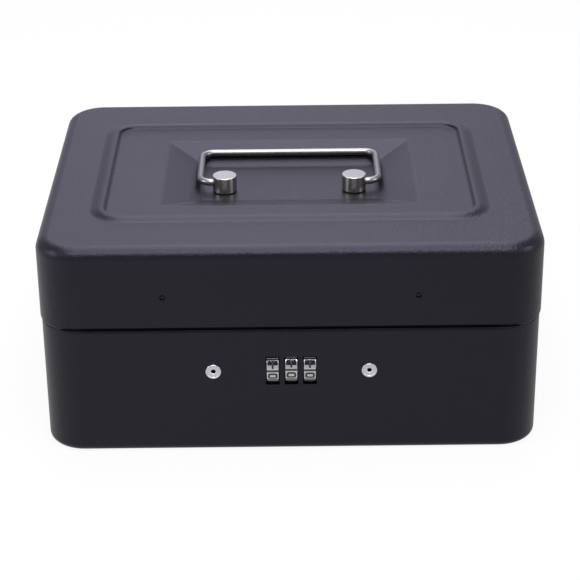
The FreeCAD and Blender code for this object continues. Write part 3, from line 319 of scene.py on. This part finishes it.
def seam_shade_mask(graph, where):
    """1 on the base just below the lid's edge, where painted shade stands for the lid's shadow, and 0 away
    from it and at the corners.
    """
    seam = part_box("lid_shell")[0].z
    clear_below, full_below = 2.7 * MM, 1.1 * MM
    full_above, clear_above = 0.4 * MM, 1.6 * MM
    shaded_side, unshaded_side = 80 * MM, 94 * MM
    level = graph.split(where, "Z")
    across = graph.split(where, "X")
    below = graph.ramp(level, seam - clear_below, seam - full_below)
    above = graph.ramp(level, seam + clear_above, seam + full_above)
    unshaded_corner = graph.ramp(across * across, shaded_side ** 2, unshaded_side ** 2)
    return below * above * (1 - unshaded_corner)


def powder_coat(with_seam_shade=False):
    """Fine grains under a soft sheen, with painted shade along the seam where it is asked for."""
    look = settings().coat
    swell_size, swell_share = look.grain * 4, 0.25
    cloud_size = 45 * MM
    low_grain, high_grain = 0.3, 0.7
    dark, light = rgba(shade(look.colour, 0.82)), rgba(shade(look.colour, 1.2))
    grain_change, cloud_change = 0.12, 0.04
    seam_shade_colour, seam_shade_share = rgba(shade(look.colour, 0.5)), 0.85
    material, graph = new_finish("powder_coat")
    where = graph.place()
    grains = graph.noise(where, look.grain, roughness=0.55)
    swell = graph.noise(where, swell_size, detail=1.0)
    cloud = graph.noise(where, cloud_size)
    coat = graph.shader({
        "Base Color": graph.blend(graph.ramp(grains, low_grain, high_grain), dark, light),
        "Roughness": look.roughness + swing(grains, grain_change) + swing(cloud, cloud_change),
        "IOR": look.ior,
        "Specular Tint": rgba(look.gloss),
        "Normal": graph.bump(grains + swell * swell_share, look.grain_depth),
    })
    if with_seam_shade:
        # Painted shade: a dark coat mixed in below the lid's edge stands for the lid's shadow on the base.
        seam_shade_bsdf = graph.node("ShaderNodeBsdfDiffuse", None, {"Color": seam_shade_colour})
        cover = seam_shade_mask(graph, where) * seam_shade_share
        coat = graph.node("ShaderNodeMixShader", None, {0: cover, 1: coat, 2: seam_shade_bsdf})
    graph.show(coat)
    return material


def plain_metal(name, colour, roughness, blotch, depth):
    """Metal whose gloss changes in small blotches."""
    dark, light = rgba(shade(colour, 0.9)), rgba(shade(colour, 1.06))
    gloss_change = 0.16
    fine_size = blotch / 6
    material, graph = new_finish(name)
    where = graph.place()
    spots = graph.noise(where, blotch, detail=3.0, roughness=0.6)
    fine = graph.noise(where, fine_size)
    graph.surface({
        "Base Color": graph.blend(spots, dark, light),
        "Metallic": 1.0,
        "Roughness": roughness + swing(spots, gloss_change),
        "Normal": graph.bump(fine, depth),
    })
    return material


def turned_metal(name, colour, roughness, axis, depth):
    """Metal with fine rings left by turning about an axis."""
    dark, light = rgba(shade(colour, 0.94)), rgba(shade(colour, 1.05))
    ring_size, ring_stretch = 0.16 * MM, 0.02
    spot_size = 1.2 * MM
    gloss_change = 0.2
    material, graph = new_finish(name)
    where = graph.place()
    rings = graph.noise(graph.stretch(where, axis, ring_stretch), ring_size, roughness=0.6)
    spots = graph.noise(where, spot_size)
    graph.surface({
        "Base Color": graph.blend(spots, dark, light),
        "Metallic": 1.0,
        "Roughness": roughness + swing(rings, gloss_change),
        "Normal": graph.bump(rings, depth),
    })
    return material


def moulded_plastic():
    """Dull black plastic with the fine grain of its mould."""
    look = settings().tray
    dark, light = rgba(shade(look.colour, 0.85)), rgba(shade(look.colour, 1.2))
    roughness, gloss_change = 0.5, 0.15
    grain_depth = 0.02 * MM
    material, graph = new_finish("moulded_plastic")
    grain = graph.noise(graph.place(), look.grain, roughness=0.6)
    graph.surface({
        "Base Color": graph.blend(grain, dark, light),
        "Roughness": roughness + swing(grain, gloss_change),
        "Specular IOR Level": 0.35,
        "Normal": graph.bump(grain, grain_depth),
    })
    return material


def digit_ink():
    """Black ink in the digits, and painted shade in grooves, holes, rings and the posts' feet."""
    look = settings().dial
    spot_size = 0.4 * MM
    roughness, gloss_change = 0.42, 0.2
    material, graph = new_finish("digit_ink")
    spots = graph.noise(graph.place(), spot_size)
    graph.surface({
        "Base Color": rgba(look.ink),
        "Roughness": roughness + swing(spots, gloss_change),
        "Specular IOR Level": 0.6,
    })
    return material


def metal_finish(kind, name, colour, **values):
    """A maker of a metal finish, whose colour is looked up when it is made."""
    return lambda: kind(name, getattr(settings().metal, colour), **values)


FINISHES = {
    "black_coat": powder_coat,
    "zinc_steel": metal_finish(
        plain_metal, "zinc_plate", "zinc", roughness=0.34, blotch=3 * MM, depth=0.004 * MM),
    "nickel": metal_finish(
        turned_metal, "turned_nickel", "nickel", roughness=0.22, axis="Z", depth=0.01 * MM),
    "chrome_wire": metal_finish(
        plain_metal, "satin_wire", "wire", roughness=0.3, blotch=2 * MM, depth=0.00005 * MM),
    "chrome_dial": metal_finish(
        plain_metal, "dial_chrome", "chrome", roughness=0.08, blotch=1.0 * MM, depth=0.0003 * MM),
    "ring_brass": metal_finish(
        plain_metal, "ring_brass", "brass", roughness=0.3, blotch=1.5 * MM, depth=0.002 * MM),
    "spring_steel": metal_finish(
        plain_metal, "spring_steel", "spring", roughness=0.3, blotch=1.0 * MM, depth=0.002 * MM),
    "tray_plastic": moulded_plastic,
    "base_coat": lambda: powder_coat(with_seam_shade=True),
    "rivet_nickel": metal_finish(
        turned_metal, "rivet_nickel", "rivet", roughness=0.28, axis="Y", depth=0.03 * MM),
    "digit_ink": digit_ink,
}


def finish_for(slot):
    """The finish of a slot, made when it is first asked for."""
    name = "finish_" + slot
    found = bpy.data.materials.get(name)
    if found:
        return found
    made = FINISHES[slot]()
    made.name = name
    return made


def dress(*nodes, finish=None):
    """Gives frame nodes the finish of their slot, or the named one."""
    slots = {part["node"]: part["material_slot"] for part in frame["record"]["subparts"]}
    for node in nodes:
        materials = frame["nodes"][node].data.materials
        materials.clear()
        materials.append(finish_for(finish or slots[node]))


# Pieces

def add_piece(name, shape, body, slot, *replaced):
    """Turns a bmesh in metres into a piece that rides on a body and stands for frame nodes."""
    mesh = bpy.data.meshes.new(name)
    bmesh.ops.recalc_face_normals(shape, faces=shape.faces)
    shape.to_mesh(mesh)
    shape.free()
    piece = bpy.data.objects.new(name, mesh)
    bpy.context.scene.collection.objects.link(piece)
    mesh.materials.append(finish_for(slot))
    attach(piece, body)
    if replaced:
        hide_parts(*replaced)
    return piece


def skin_rings(shape, rings, closed=False):
    """Joins rings of points, each a closed loop of the same count, with quads."""
    loops = [[shape.verts.new(point) for point in ring] for ring in rings]
    pairs = list(zip(loops, loops[1:]))
    if closed:
        pairs.append((loops[-1], loops[0]))
    for lower, upper in pairs:
        for this in range(len(lower)):
            after = (this + 1) % len(lower)
            shape.faces.new((lower[this], lower[after], upper[after], upper[this]))
    return loops


def close_ends(shape, loops):
    """Caps on the first and the last ring."""
    shape.faces.new(loops[0])
    shape.faces.new(loops[-1])


def smooth_by_angle(piece, degrees):
    """Smooth faces, with sharp edges where faces meet at a steep angle."""
    piece.data.shade_smooth()
    piece.data.set_sharp_from_angle(angle=math.radians(degrees))


def paint_shade_faces(piece, chosen):
    """Paints shade on the faces whose points, as a list, pass the test, in the digits' black ink."""
    piece.data.materials.append(finish_for("digit_ink"))
    for face in piece.data.polygons:
        if chosen([piece.data.vertices[index].co for index in face.vertices]):
            face.material_index = 1


def turn_profile(shape, centre, along, across, points, steps=96):
    """Turns (level, radius) points about an axis through the centre."""
    side = along.cross(across)
    rings = []
    for level, radius in points:
        ring = []
        for step in range(steps):
            angle = 2 * math.pi * step / steps
            spoke = across * math.cos(angle) + side * math.sin(angle)
            ring.append(centre + along * level + spoke * radius)
        rings.append(ring)
    return skin_rings(shape, rings)


def arc_points(centre, radius, start, end, steps):
    """(level, radius) points on an arc, from one angle in degrees to another."""
    points = []
    for step in range(steps + 1):
        angle = math.radians(start + (end - start) * step / steps)
        points.append((centre[0] + radius * math.sin(angle), centre[1] + radius * math.cos(angle)))
    return points


# Operators

def make_strike_rivets():
    """Small rivets, sunk in the lid's front wall, with a deep ring around a boss, the ring painted black as
    shade.
    """
    low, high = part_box("strike_rivets")
    upset = (high.z - low.z) / 2
    depth = high.y - low.y
    shank = 1.15 * MM
    boss = 0.5 * MM
    ring = 0.9 * MM
    shade_start = 0.15 * MM
    profile = [
        (-depth, upset - 0.3 * MM),
        (0.15 * MM - depth, upset),
        (0.45 * MM - depth, upset),
        (0.5 * MM - depth, shank),
        (-0.1 * MM, shank),
        (0, shank - 0.08 * MM),
        (-0.05 * MM, shank - 0.14 * MM),
        (-ring, shank - 0.2 * MM),
        (-ring, boss),
        (-0.2 * MM, boss),
        (-0.1 * MM, boss * 0.8),
        (-0.06 * MM, boss * 0.4),
    ]
    shape = bmesh.new()
    for x in (low.x + upset, high.x - upset):
        face = Vector((x, low.y, (low.z + high.z) / 2))
        loops = turn_profile(shape, face, Vector((0, -1, 0)), Vector((1, 0, 0)), profile, steps=32)
        close_ends(shape, loops)
    piece = add_piece("rivets_of_strike", shape, "lid", "black_coat", "strike_rivets")
    smooth_by_angle(piece, 40)
    # Painted shade: the deep ring is given black ink to stand for its shadow.
    first, last = low.y + shade_start, low.y + ring * 1.01
    paint_shade_faces(piece, lambda points: all(first < point.y < last for point in points))


def make_corner_curls():
    """The lid's lower edge, drawn in at each corner so that it closes on the base's shoulder."""
    low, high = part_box("lid_shell")
    bend = 16 * MM
    reach = 1.15 * MM
    first, last, fade = 15, 75, 12
    # How far out, how far up and what share of the reach down, for each point across the edge
    profile = (
        (-0.75, 0.3, 0), (-0.05, 0.3, 0), (-0.05, 0.05, 0), (-0.08, 0.05, 0.3),
        (-0.2, 0.05, 0.6), (-0.45, 0.05, 0.85), (-0.75, 0.05, 1), (-1, 0.05, 1),
    )
    shape = bmesh.new()
    for x, rightward in ((low.x + bend, -1), (high.x - bend, 1)):
        for y, backward in ((low.y + bend, -1), (high.y - bend, 1)):
            rings = []
            for degrees in range(first, last + 1):
                share = min(1, (degrees - first) / fade, (last - degrees) / fade)
                drop = reach * share * share * (3 - 2 * share)
                angle = math.radians(degrees)
                spoke = Vector((rightward * math.sin(angle), backward * math.cos(angle), 0))
                ring = []
                for out, rise, fall in profile:
                    level = Vector((x, y, low.z + rise * MM - drop * fall))
                    ring.append(level + spoke * (bend + out * MM))
                rings.append(ring)
            loops = skin_rings(shape, rings)
            close_ends(shape, loops)
    piece = add_piece("curls_of_lid", shape, "lid", "black_coat")
    smooth_by_angle(piece, 50)


class CASHBOX_OT_shells(bpy.types.Operator):
    """Powder coat on the pressed lid and base"""
    bl_idname = "cash_box.shells"
    bl_label = "Lid and base"

    def execute(self, context):
        dress("lid_shell")
        dress("base_shell", finish="base_coat")
        make_strike_rivets()
        make_corner_curls()
        return {"FINISHED"}


class CASHBOX_OT_hinge(bpy.types.Operator):
    """Barrel hinge at the back"""
    bl_idname = "cash_box.hinge"
    bl_label = "Hinge"

    def execute(self, context):
        dress("hinge_pin", "hinge_lid_leaf", "hinge_base_leaf", "hinge_lid_rivets", "hinge_base_rivets")
        return {"FINISHED"}


def make_post(side):
    """A turned post with a rounded rim, a slightly dished top and a necked foot, the neck painted black as
    the shadow at the foot.
    """
    node = f"handle_post_{side}"
    low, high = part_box(node)
    radius = (high.x - low.x) / 2
    height = high.z - low.z
    foot = Vector(((low.x + high.x) / 2, (low.y + high.y) / 2, low.z))
    rim = 0.32 * MM
    neck = radius - 0.35 * MM
    neck_height = 0.45 * MM
    dish, dish_middle = 0.015 * MM, 0.02 * MM
    profile = [
        (0, neck - rim),
        (0, neck),
        (neck_height, neck),
        (neck_height, radius - rim / 4),
        (neck_height + rim / 4, radius),
        (height / 2, radius),
    ]
    profile += arc_points((height - rim, radius - rim), rim, start=0, end=90, steps=8)
    profile += [
        (height, radius - 2 * rim),
        (height, radius * 0.78),
        (height - dish, radius * 0.7),
        (height - dish, radius * 0.4),
        (height - dish_middle, radius * 0.1),
    ]
    shape = bmesh.new()
    loops = turn_profile(shape, foot, Vector((0, 0, 1)), Vector((1, 0, 0)), profile)
    close_ends(shape, loops)
    piece = add_piece(f"post_{side}", shape, "lid", "nickel", node)
    smooth_by_angle(piece, 40)
    # Painted shadow: the neck at the foot is given black ink.
    shade_top = low.z + neck_height * 1.01
    paint_shade_faces(piece, lambda points: all(point.z < shade_top for point in points))


class CASHBOX_OT_handle(bpy.types.Operator):
    """Wire handle, its posts and their screws"""
    bl_idname = "cash_box.handle"
    bl_label = "Handle"

    def execute(self, context):
        make_post("left")
        make_post("right")
        dress("handle_bail", "post_screws", "post_washers")
        return {"FINISHED"}


# Strokes of each digit, from -1 to 1 across and up
DIGITS = {
    0: [[(-1, -1), (1, -1), (1, 1), (-1, 1), (-1, -1)]],
    1: [[(0, 1), (0, -1)]],
    2: [[(-1, 1), (1, 1), (1, 0), (-1, 0), (-1, -1), (1, -1)]],
    3: [[(-1, 1), (1, 1), (1, -1), (-1, -1)], [(-0.5, 0), (1, 0)]],
    4: [[(-1, 1), (-1, -0.3), (1, -0.3)], [(0.4, 0.5), (0.4, -1)]],
    5: [[(1, 1), (-1, 1), (-1, 0), (1, 0), (1, -1), (-1, -1)]],
    6: [[(1, 1), (-1, 1), (-1, -1), (1, -1), (1, 0), (-1, 0)]],
    7: [[(-1, 1), (1, 1), (0, -1)]],
    8: [[(-1, -1), (1, -1), (1, 1), (-1, 1), (-1, -1)], [(-1, 0), (1, 0)]],
    9: [[(-1, -1), (1, -1), (1, 1), (-1, 1), (-1, 0), (1, 0)]],
}


class Dial:
    """Places on one ten sided wheel: across its width, along a facet and out from the facet."""
    FACETS = 10
    BEND_SHARE = 0.3
    BEND_DEGREES = (30, 60)
    STATIONS = (-1, -0.97, -0.75, -0.5, -0.25, 0, 0.25, 0.5, 0.75, 0.97, 1)

    def __init__(self, side):
        look = settings().dial
        low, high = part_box(f"dial_{side}")
        self.middle = (low + high) / 2
        self.half_width = (high.x - low.x) / 2
        self.radius = (high.y - low.y) / 2 - look.inset
        self.pitch = 2 * math.pi / self.FACETS
        self.turn = look.rest_turn[SIDES.index(side)]
        self.half_facet = look.facet / 2
        self.curve = (self.half_facet ** 2 + look.crown ** 2) / (2 * look.crown)
        self.level = self.radius * math.cos(self.pitch / 2) + look.crown / 2

    def sink(self, along):
        """How far the crowned facet falls away at a distance from its middle."""
        return self.curve - math.sqrt(self.curve ** 2 - along ** 2)

    def point(self, facet, across, along, out):
        """A point over a facet. The facet's middle is at pitch / 2 above the front, and so on upwards."""
        angle = (facet + 0.5) * self.pitch + self.turn
        outward = Vector((0, -math.cos(angle), math.sin(angle)))
        upward = Vector((0, math.sin(angle), math.cos(angle)))
        place = outward * (self.level - self.sink(along) + out) + upward * along
        return self.middle + Vector((across, 0, 0)) + place

    def rounded_end(self, facet, across, degrees, inset):
        """A point on the small bend at one end of a facet."""
        bend = settings().dial.edge * self.BEND_SHARE
        angle = math.radians(degrees)
        along = math.copysign(self.half_facet, degrees) + bend * math.sin(angle)
        return self.point(facet, across, along, -inset - bend * (1 - math.cos(angle)))

    def outline(self, across, inset):
        """A ring round the wheel, with a groove between facets."""
        depth = settings().dial.groove_depth
        ring = []
        for facet in range(self.FACETS):
            for end in reversed(self.BEND_DEGREES):
                ring.append(self.rounded_end(facet, across, -end, inset))
            for share in self.STATIONS:
                ring.append(self.point(facet, across, self.half_facet * share, -inset))
            for end in self.BEND_DEGREES:
                ring.append(self.rounded_end(facet, across, end, inset))
            angle = (facet + 1) * self.pitch + self.turn
            reach = self.radius - depth - inset
            groove = Vector((across, -math.cos(angle) * reach, math.sin(angle) * reach))
            ring.append(self.middle + groove)
        return ring

    def bore(self, across, radius, count):
        """A plain ring of points round the wheel's axis."""
        ring = []
        for step in range(count):
            angle = 2 * math.pi * step / count + self.turn
            spoke = Vector((across, -math.cos(angle) * radius, math.sin(angle) * radius))
            ring.append(self.middle + spoke)
        return ring


def make_dial(side):
    """One wheel: an outline with rounded rims, a hole for the code ring and painted shade, in black ink, in
    the grooves.
    """
    look = settings().dial
    dial = Dial(side)
    edge = look.edge
    half = dial.half_width
    rings = [dial.outline(-half, edge)]
    for share in (0.15, 0.45, 1.0):
        inset = edge * (1 - math.sqrt(1 - (1 - share) ** 2))
        rings.append(dial.outline(-half + edge * share, inset))
    rings.append(dial.outline(-half + edge * 1.5, 0))
    for ring in reversed(rings[:]):
        rings.append([Vector((2 * dial.middle.x - point.x, point.y, point.z)) for point in ring])
    count = len(rings[0])
    rings.append(dial.bore(half, look.bore, count))
    rings.append(dial.bore(-half, look.bore, count))
    shape = bmesh.new()
    skin_rings(shape, rings, closed=True)
    piece = add_piece(f"wheel_{side}", shape, f"wheel_{side}", "chrome_dial", f"dial_{side}")
    smooth_by_angle(piece, 30)
    groove = dial.radius - look.groove_depth
    slack = 1e-6

    def in_groove(points):
        nearest = min(math.hypot(*(point - dial.middle).yz) for point in points)
        return groove - 2 * edge < nearest < groove + slack

    # Painted shade: the grooves between facets are given black ink.
    paint_shade_faces(piece, in_groove)
    return dial


def round_corners(path, radius, steps=5):
    """A polyline whose corners are arcs. A path that ends where it starts is rounded there too."""
    loop = path[0] == path[-1]
    corners = path[:-1] if loop else path[1:-1]
    before = [path[-2]] + path[:-2] if loop else path[:-2]
    after = path[1:-1] + [path[0]] if loop else path[2:]
    points = [] if loop else [Vector(path[0])]
    for corner, previous, following in zip(corners, before, after):
        corner = Vector(corner)
        arrive = (corner - Vector(previous)).normalized()
        leave = (Vector(following) - corner).normalized()
        for step in range(steps + 1):
            share = step / steps
            start = corner - arrive * radius
            end = corner + leave * radius
            points.append(start * (1 - share) ** 2 + corner * 2 * share * (1 - share) + end * share ** 2)
    points.append(points[0] if loop else Vector(path[-1]))
    return points, loop


def divide(points, most):
    """The same polyline with no piece longer than the given length."""
    divided = []
    for start, end in zip(points, points[1:]):
        count = math.ceil((end - start).length / most)
        divided += [start.lerp(end, step / count) for step in range(count)]
    return divided + [points[-1]]


def draw_stroke(shape, dial, facet, path):
    """A raised stroke of ink along a path on a facet."""
    look = settings().dial
    reach = Vector((look.digit_width - look.stroke, look.digit_height - look.stroke)) / 2
    corner = look.stroke * 0.8
    scaled = [(x * reach.x, y * reach.y) for x, y in path]
    points, loop = round_corners(scaled, corner)
    if not loop:
        points[0] = points[0] + (points[0] - points[1]).normalized() * look.stroke / 2
        points[-1] = points[-1] + (points[-1] - points[-2]).normalized() * look.stroke / 2
    points = divide(points, look.stroke / 2)
    if loop:
        points.pop()
    count = len(points)
    rings = []
    for number, point in enumerate(points):
        previous = points[number - 1] if number or loop else point
        following = points[(number + 1) % count] if number + 1 < count or loop else point
        heading = (following - previous).normalized()
        side = Vector((-heading.y, heading.x)) * look.stroke / 2
        ring = []
        for sign, out in ((-1, -look.relief), (-1, look.relief), (1, look.relief), (1, -look.relief)):
            spot = point + side * sign
            ring.append(dial.point(facet, spot.x, spot.y, out))
        rings.append(ring)
    loops = skin_rings(shape, rings, closed=loop)
    if not loop:
        close_ends(shape, loops)


def make_digits(side, dial):
    """The ten digits of a wheel, each on its own facet."""
    shape = bmesh.new()
    for digit, paths in DIGITS.items():
        for path in paths:
            draw_stroke(shape, dial, digit - 1, path)
    piece = add_piece(f"digits_{side}", shape, f"wheel_{side}", "chrome_dial")
    piece.data.materials[0] = finish_for("digit_ink")


class CASHBOX_OT_dials(bpy.types.Operator):
    """Number wheels of the lock"""
    bl_idname = "cash_box.dials"
    bl_label = "Dials"

    def execute(self, context):
        for side in SIDES:
            dial = make_dial(side)
            make_digits(side, dial)
            dress(f"code_ring_{side}")
        return {"FINISHED"}


def make_lock_rivets():
    """Tubular rivets: a rolled lip round a shallow dish, a hole through the middle and an upset inside. The
    hole is painted black as shade.
    """
    low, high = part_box("lock_rivets")
    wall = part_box("base_shell")[0].y
    radius = (high.z - low.z) / 2
    lip = 0.4 * MM
    shank = 1.7 * MM
    hole = 0.85 * MM
    upset_radius = 2.2 * MM
    crown = wall - low.y - lip
    upset = wall - high.y
    shade_slack = 0.02 * MM
    same_point = 0.0001 * MM
    profile = [
        (upset, hole),
        (upset, upset_radius - 0.2 * MM),
        (upset + 0.2 * MM, upset_radius),
        (upset + 0.7 * MM, upset_radius),
        (upset + 0.75 * MM, shank),
        (0, shank),
        (0, radius - 0.1 * MM),
        (0.12 * MM, radius),
    ]
    profile += arc_points((crown, radius - lip), lip, start=0, end=150, steps=12)
    profile += [
        (crown + 0.12 * MM, radius - 2.4 * lip),
        (crown + 0.16 * MM, radius - 3.4 * lip),
        (crown + 0.1 * MM, hole + 0.3 * MM),
        (crown - 0.1 * MM, hole + 0.06 * MM),
        (crown - 0.4 * MM, hole),
    ]
    shape = bmesh.new()
    middle = Vector((high.x - radius, wall, (low.z + high.z) / 2))
    for x in (-middle.x, middle.x):
        centre = Vector((x, middle.y, middle.z))
        turn_profile(shape, centre, Vector((0, -1, 0)), Vector((1, 0, 0)), profile + profile[:1])
    bmesh.ops.remove_doubles(shape, verts=shape.verts, dist=same_point)
    piece = add_piece("rivets_of_lock", shape, "base", "nickel", "lock_rivets")
    smooth_by_angle(piece, 50)
    piece.data.materials[0] = finish_for("rivet_nickel")

    # Painted shade: the hole's bore is given black ink.
    def in_hole(points):
        reach = [math.hypot(abs(point.x) - middle.x, point.z - middle.z) for point in points]
        return max(reach) < hole + shade_slack

    paint_shade_faces(piece, in_hole)


class CASHBOX_OT_lock(bpy.types.Operator):
    """Works of the lock behind the front wall, and its strike"""
    bl_idname = "cash_box.lock"
    bl_label = "Lock"

    def execute(self, context):
        make_lock_rivets()
        dress("lock_frame", "lock_cover", "cover_screws", "lock_bolt", "spring_clip")
        dress("bolt_spring", "detent_spring", "code_change_slide", "strike_plate")
        return {"FINISHED"}


class CASHBOX_OT_tray(bpy.types.Operator):
    """Moulded coin tray"""
    bl_idname = "cash_box.tray"
    bl_label = "Coin tray"

    def execute(self, context):
        dress("coin_tray")
        return {"FINISHED"}


WHITE = (1, 1, 1, 1)


def light_path(graph, name):
    """1 for rays of the named kind, else 0."""
    return graph.node("ShaderNodeLightPath", output=name)


def make_floor():
    """White paper that keeps the shadow, and that gloss and metal show greyer to the right."""
    look = settings().stage
    size = 8.0
    left_end, right_end = -0.2, 0.2
    left_grey, right_grey = (0.72, 0.72, 0.72, 1), (0.51, 0.51, 0.51, 1)
    glow_share = 0.9
    bpy.ops.mesh.primitive_plane_add(size=size)
    floor = bpy.context.object
    floor.name = "floor"
    material, graph = new_finish("floor_paper")
    paper = graph.node("ShaderNodeBsdfDiffuse", None, {"Color": rgba(look.floor)})
    glossy = light_path(graph, "Is Glossy Ray")
    rightward = graph.ramp(graph.split(graph.place(), "X"), left_end, right_end)
    mirrored = graph.blend(rightward, left_grey, right_grey)
    colour = graph.blend(glossy, WHITE, mirrored)
    glow = graph.node("ShaderNodeEmission", None, {"Color": colour, "Strength": 1.0})
    shown = light_path(graph, "Is Camera Ray") + glossy + light_path(graph, "Is Transmission Ray")
    graph.show(graph.node("ShaderNodeMixShader", None, {0: shown * glow_share, 1: paper, 2: glow}))
    floor.data.materials.append(material)


def make_world():
    """White to the camera. Gloss and metal show a backdrop, brightest in its middle, and a dim room."""
    look = settings().stage
    room_end, backdrop_end = -0.3, 0.3
    glow_shift, least_glow = 0.03, 0.5
    shade_side, lit_side = 0.02, 0.06
    shade_foot, lit_foot = 0.31, 0.27
    world = bpy.data.worlds.new("studio")
    world.use_nodes = True
    graph = Graph(world.node_tree)
    heading = graph.node("ShaderNodeTexCoord", output="Generated")
    across = graph.split(heading, "X")
    behind = graph.ramp(graph.split(heading, "Y"), room_end, backdrop_end)
    off = across + glow_shift
    glow = look.backdrop * (least_glow + (1 - least_glow) / (1 + off * off * look.falloff))
    off_middle = graph.ramp(across * across, shade_side, lit_side)
    below = graph.ramp(graph.split(heading, "Z"), shade_foot, lit_foot)
    lit = 1 - (1 - off_middle) * (1 - below) * (1 - look.shade)
    studio = behind * glow + (1 - behind) * lit * look.room
    camera = light_path(graph, "Is Camera Ray")
    mirrored = light_path(graph, "Is Glossy Ray") + light_path(graph, "Is Transmission Ray")
    walls = mirrored * studio + (1 - mirrored) * look.ambient
    strength = camera + (1 - camera) * walls
    tint = graph.blend(mirrored * behind, rgba(look.light_tint), rgba(look.backdrop_tint))
    tint = graph.blend(camera, tint, WHITE)
    backdrop = graph.node("ShaderNodeBackground", None, {"Color": tint, "Strength": strength})
    graph.node("ShaderNodeOutputWorld", None, {"Surface": backdrop})
    bpy.context.scene.world = world


SOFTBOX_DISTANCE = 1.2
SOFTBOX_TARGET = Vector((0, -0.02, 0.08))
# Azimuth and elevation in degrees, width and height in metres, and brightness
SOFTBOXES = {
    "back": (180, 50, 0.72, 0.6, 2.4),
    "above_left": (-90, 80.8, 1.17, 0.33, 4.25),
    "above_right": (90, 80.8, 1.17, 0.33, 4.25),
    "front_left": (-17, 53, 0.36, 0.46, 6.1),
    "front_right": (17, 53, 0.36, 0.46, 6.1),
    "left": (-72, 24, 0.42, 0.45, 4.5),
    "right": (70, 24, 0.4, 0.4, 4.3),
}


def make_softbox(name, azimuth, elevation, width, height, brightness):
    """A lamp that faces the box. The azimuth runs from the front to the right, in degrees."""
    data = bpy.data.lights.new(f"softbox_{name}", "AREA")
    data.shape = "RECTANGLE"
    data.size = width
    data.size_y = height
    data.energy = brightness * math.pi * width * height
    data.color = settings().stage.light_tint
    lamp = bpy.data.objects.new(f"softbox_{name}", data)
    bpy.context.scene.collection.objects.link(lamp)
    tilt = Matrix.Rotation(math.radians(90 - elevation), 3, "X")
    turn = Matrix.Rotation(math.radians(azimuth), 3, "Z")
    facing = (turn @ tilt).to_4x4()
    away = Matrix.Translation((0, 0, SOFTBOX_DISTANCE))
    lamp.matrix_world = Matrix.Translation(SOFTBOX_TARGET) @ facing @ away
    lamp.visible_camera = False


def make_camera():
    """A camera in front of the box, looking down on it."""
    look = settings().stage
    data = bpy.data.cameras.new("camera")
    data.lens = look.lens
    camera = bpy.data.objects.new("camera", data)
    bpy.context.scene.collection.objects.link(camera)
    back = Vector((0, -math.cos(look.elevation), math.sin(look.elevation)))
    level = back.to_track_quat("Z", "Y").to_matrix().to_4x4()
    turn = Matrix.Rotation(look.roll, 4, "Z")
    camera.matrix_world = Matrix.Translation(Vector(look.target) + back * look.distance) @ level @ turn
    bpy.context.scene.camera = camera


class CASHBOX_OT_stage(bpy.types.Operator):
    """Floor, world, lamps and camera"""
    bl_idname = "cash_box.stage"
    bl_label = "Stage"

    def execute(self, context):
        make_floor()
        make_world()
        for name, values in SOFTBOXES.items():
            make_softbox(name, *values)
        make_camera()
        context.scene.view_settings.view_transform = "Standard"
        return {"FINISHED"}


OPERATORS = (
    CASHBOX_OT_stage,
    CASHBOX_OT_shells,
    CASHBOX_OT_hinge,
    CASHBOX_OT_handle,
    CASHBOX_OT_dials,
    CASHBOX_OT_lock,
    CASHBOX_OT_tray,
)


class CASHBOX_PT_panel(bpy.types.Panel):
    """Operators and values of the cash box"""
    bl_idname = "CASHBOX_PT_panel"
    bl_label = "Cash box"
    bl_space_type = "VIEW_3D"
    bl_region_type = "UI"
    bl_category = "Cash box"

    def draw(self, context):
        for operator in OPERATORS:
            self.layout.operator(operator.bl_idname)
        for name in ("coat", "metal", "tray", "dial", "stage"):
            group = getattr(context.scene.cash_box, name)
            box = self.layout.box()
            for prop in group.__annotations__:
                box.prop(group, prop)


CLASSES = (
    CoatSettings, MetalSettings, TraySettings, DialSettings, StageSettings, CashBoxSettings,
    *OPERATORS, CASHBOX_PT_panel,
)


def register():
    for cls in CLASSES:
        bpy.utils.register_class(cls)
    bpy.types.Scene.cash_box = PointerProperty(type=CashBoxSettings)


def unregister():
    del bpy.types.Scene.cash_box
    for cls in reversed(CLASSES):
        bpy.utils.unregister_class(cls)


def main():
    register()
    for operator in OPERATORS:
        group, name = operator.bl_idname.split(".")
        getattr(getattr(bpy.ops, group), name)()


if __name__ == "__main__":
    main()
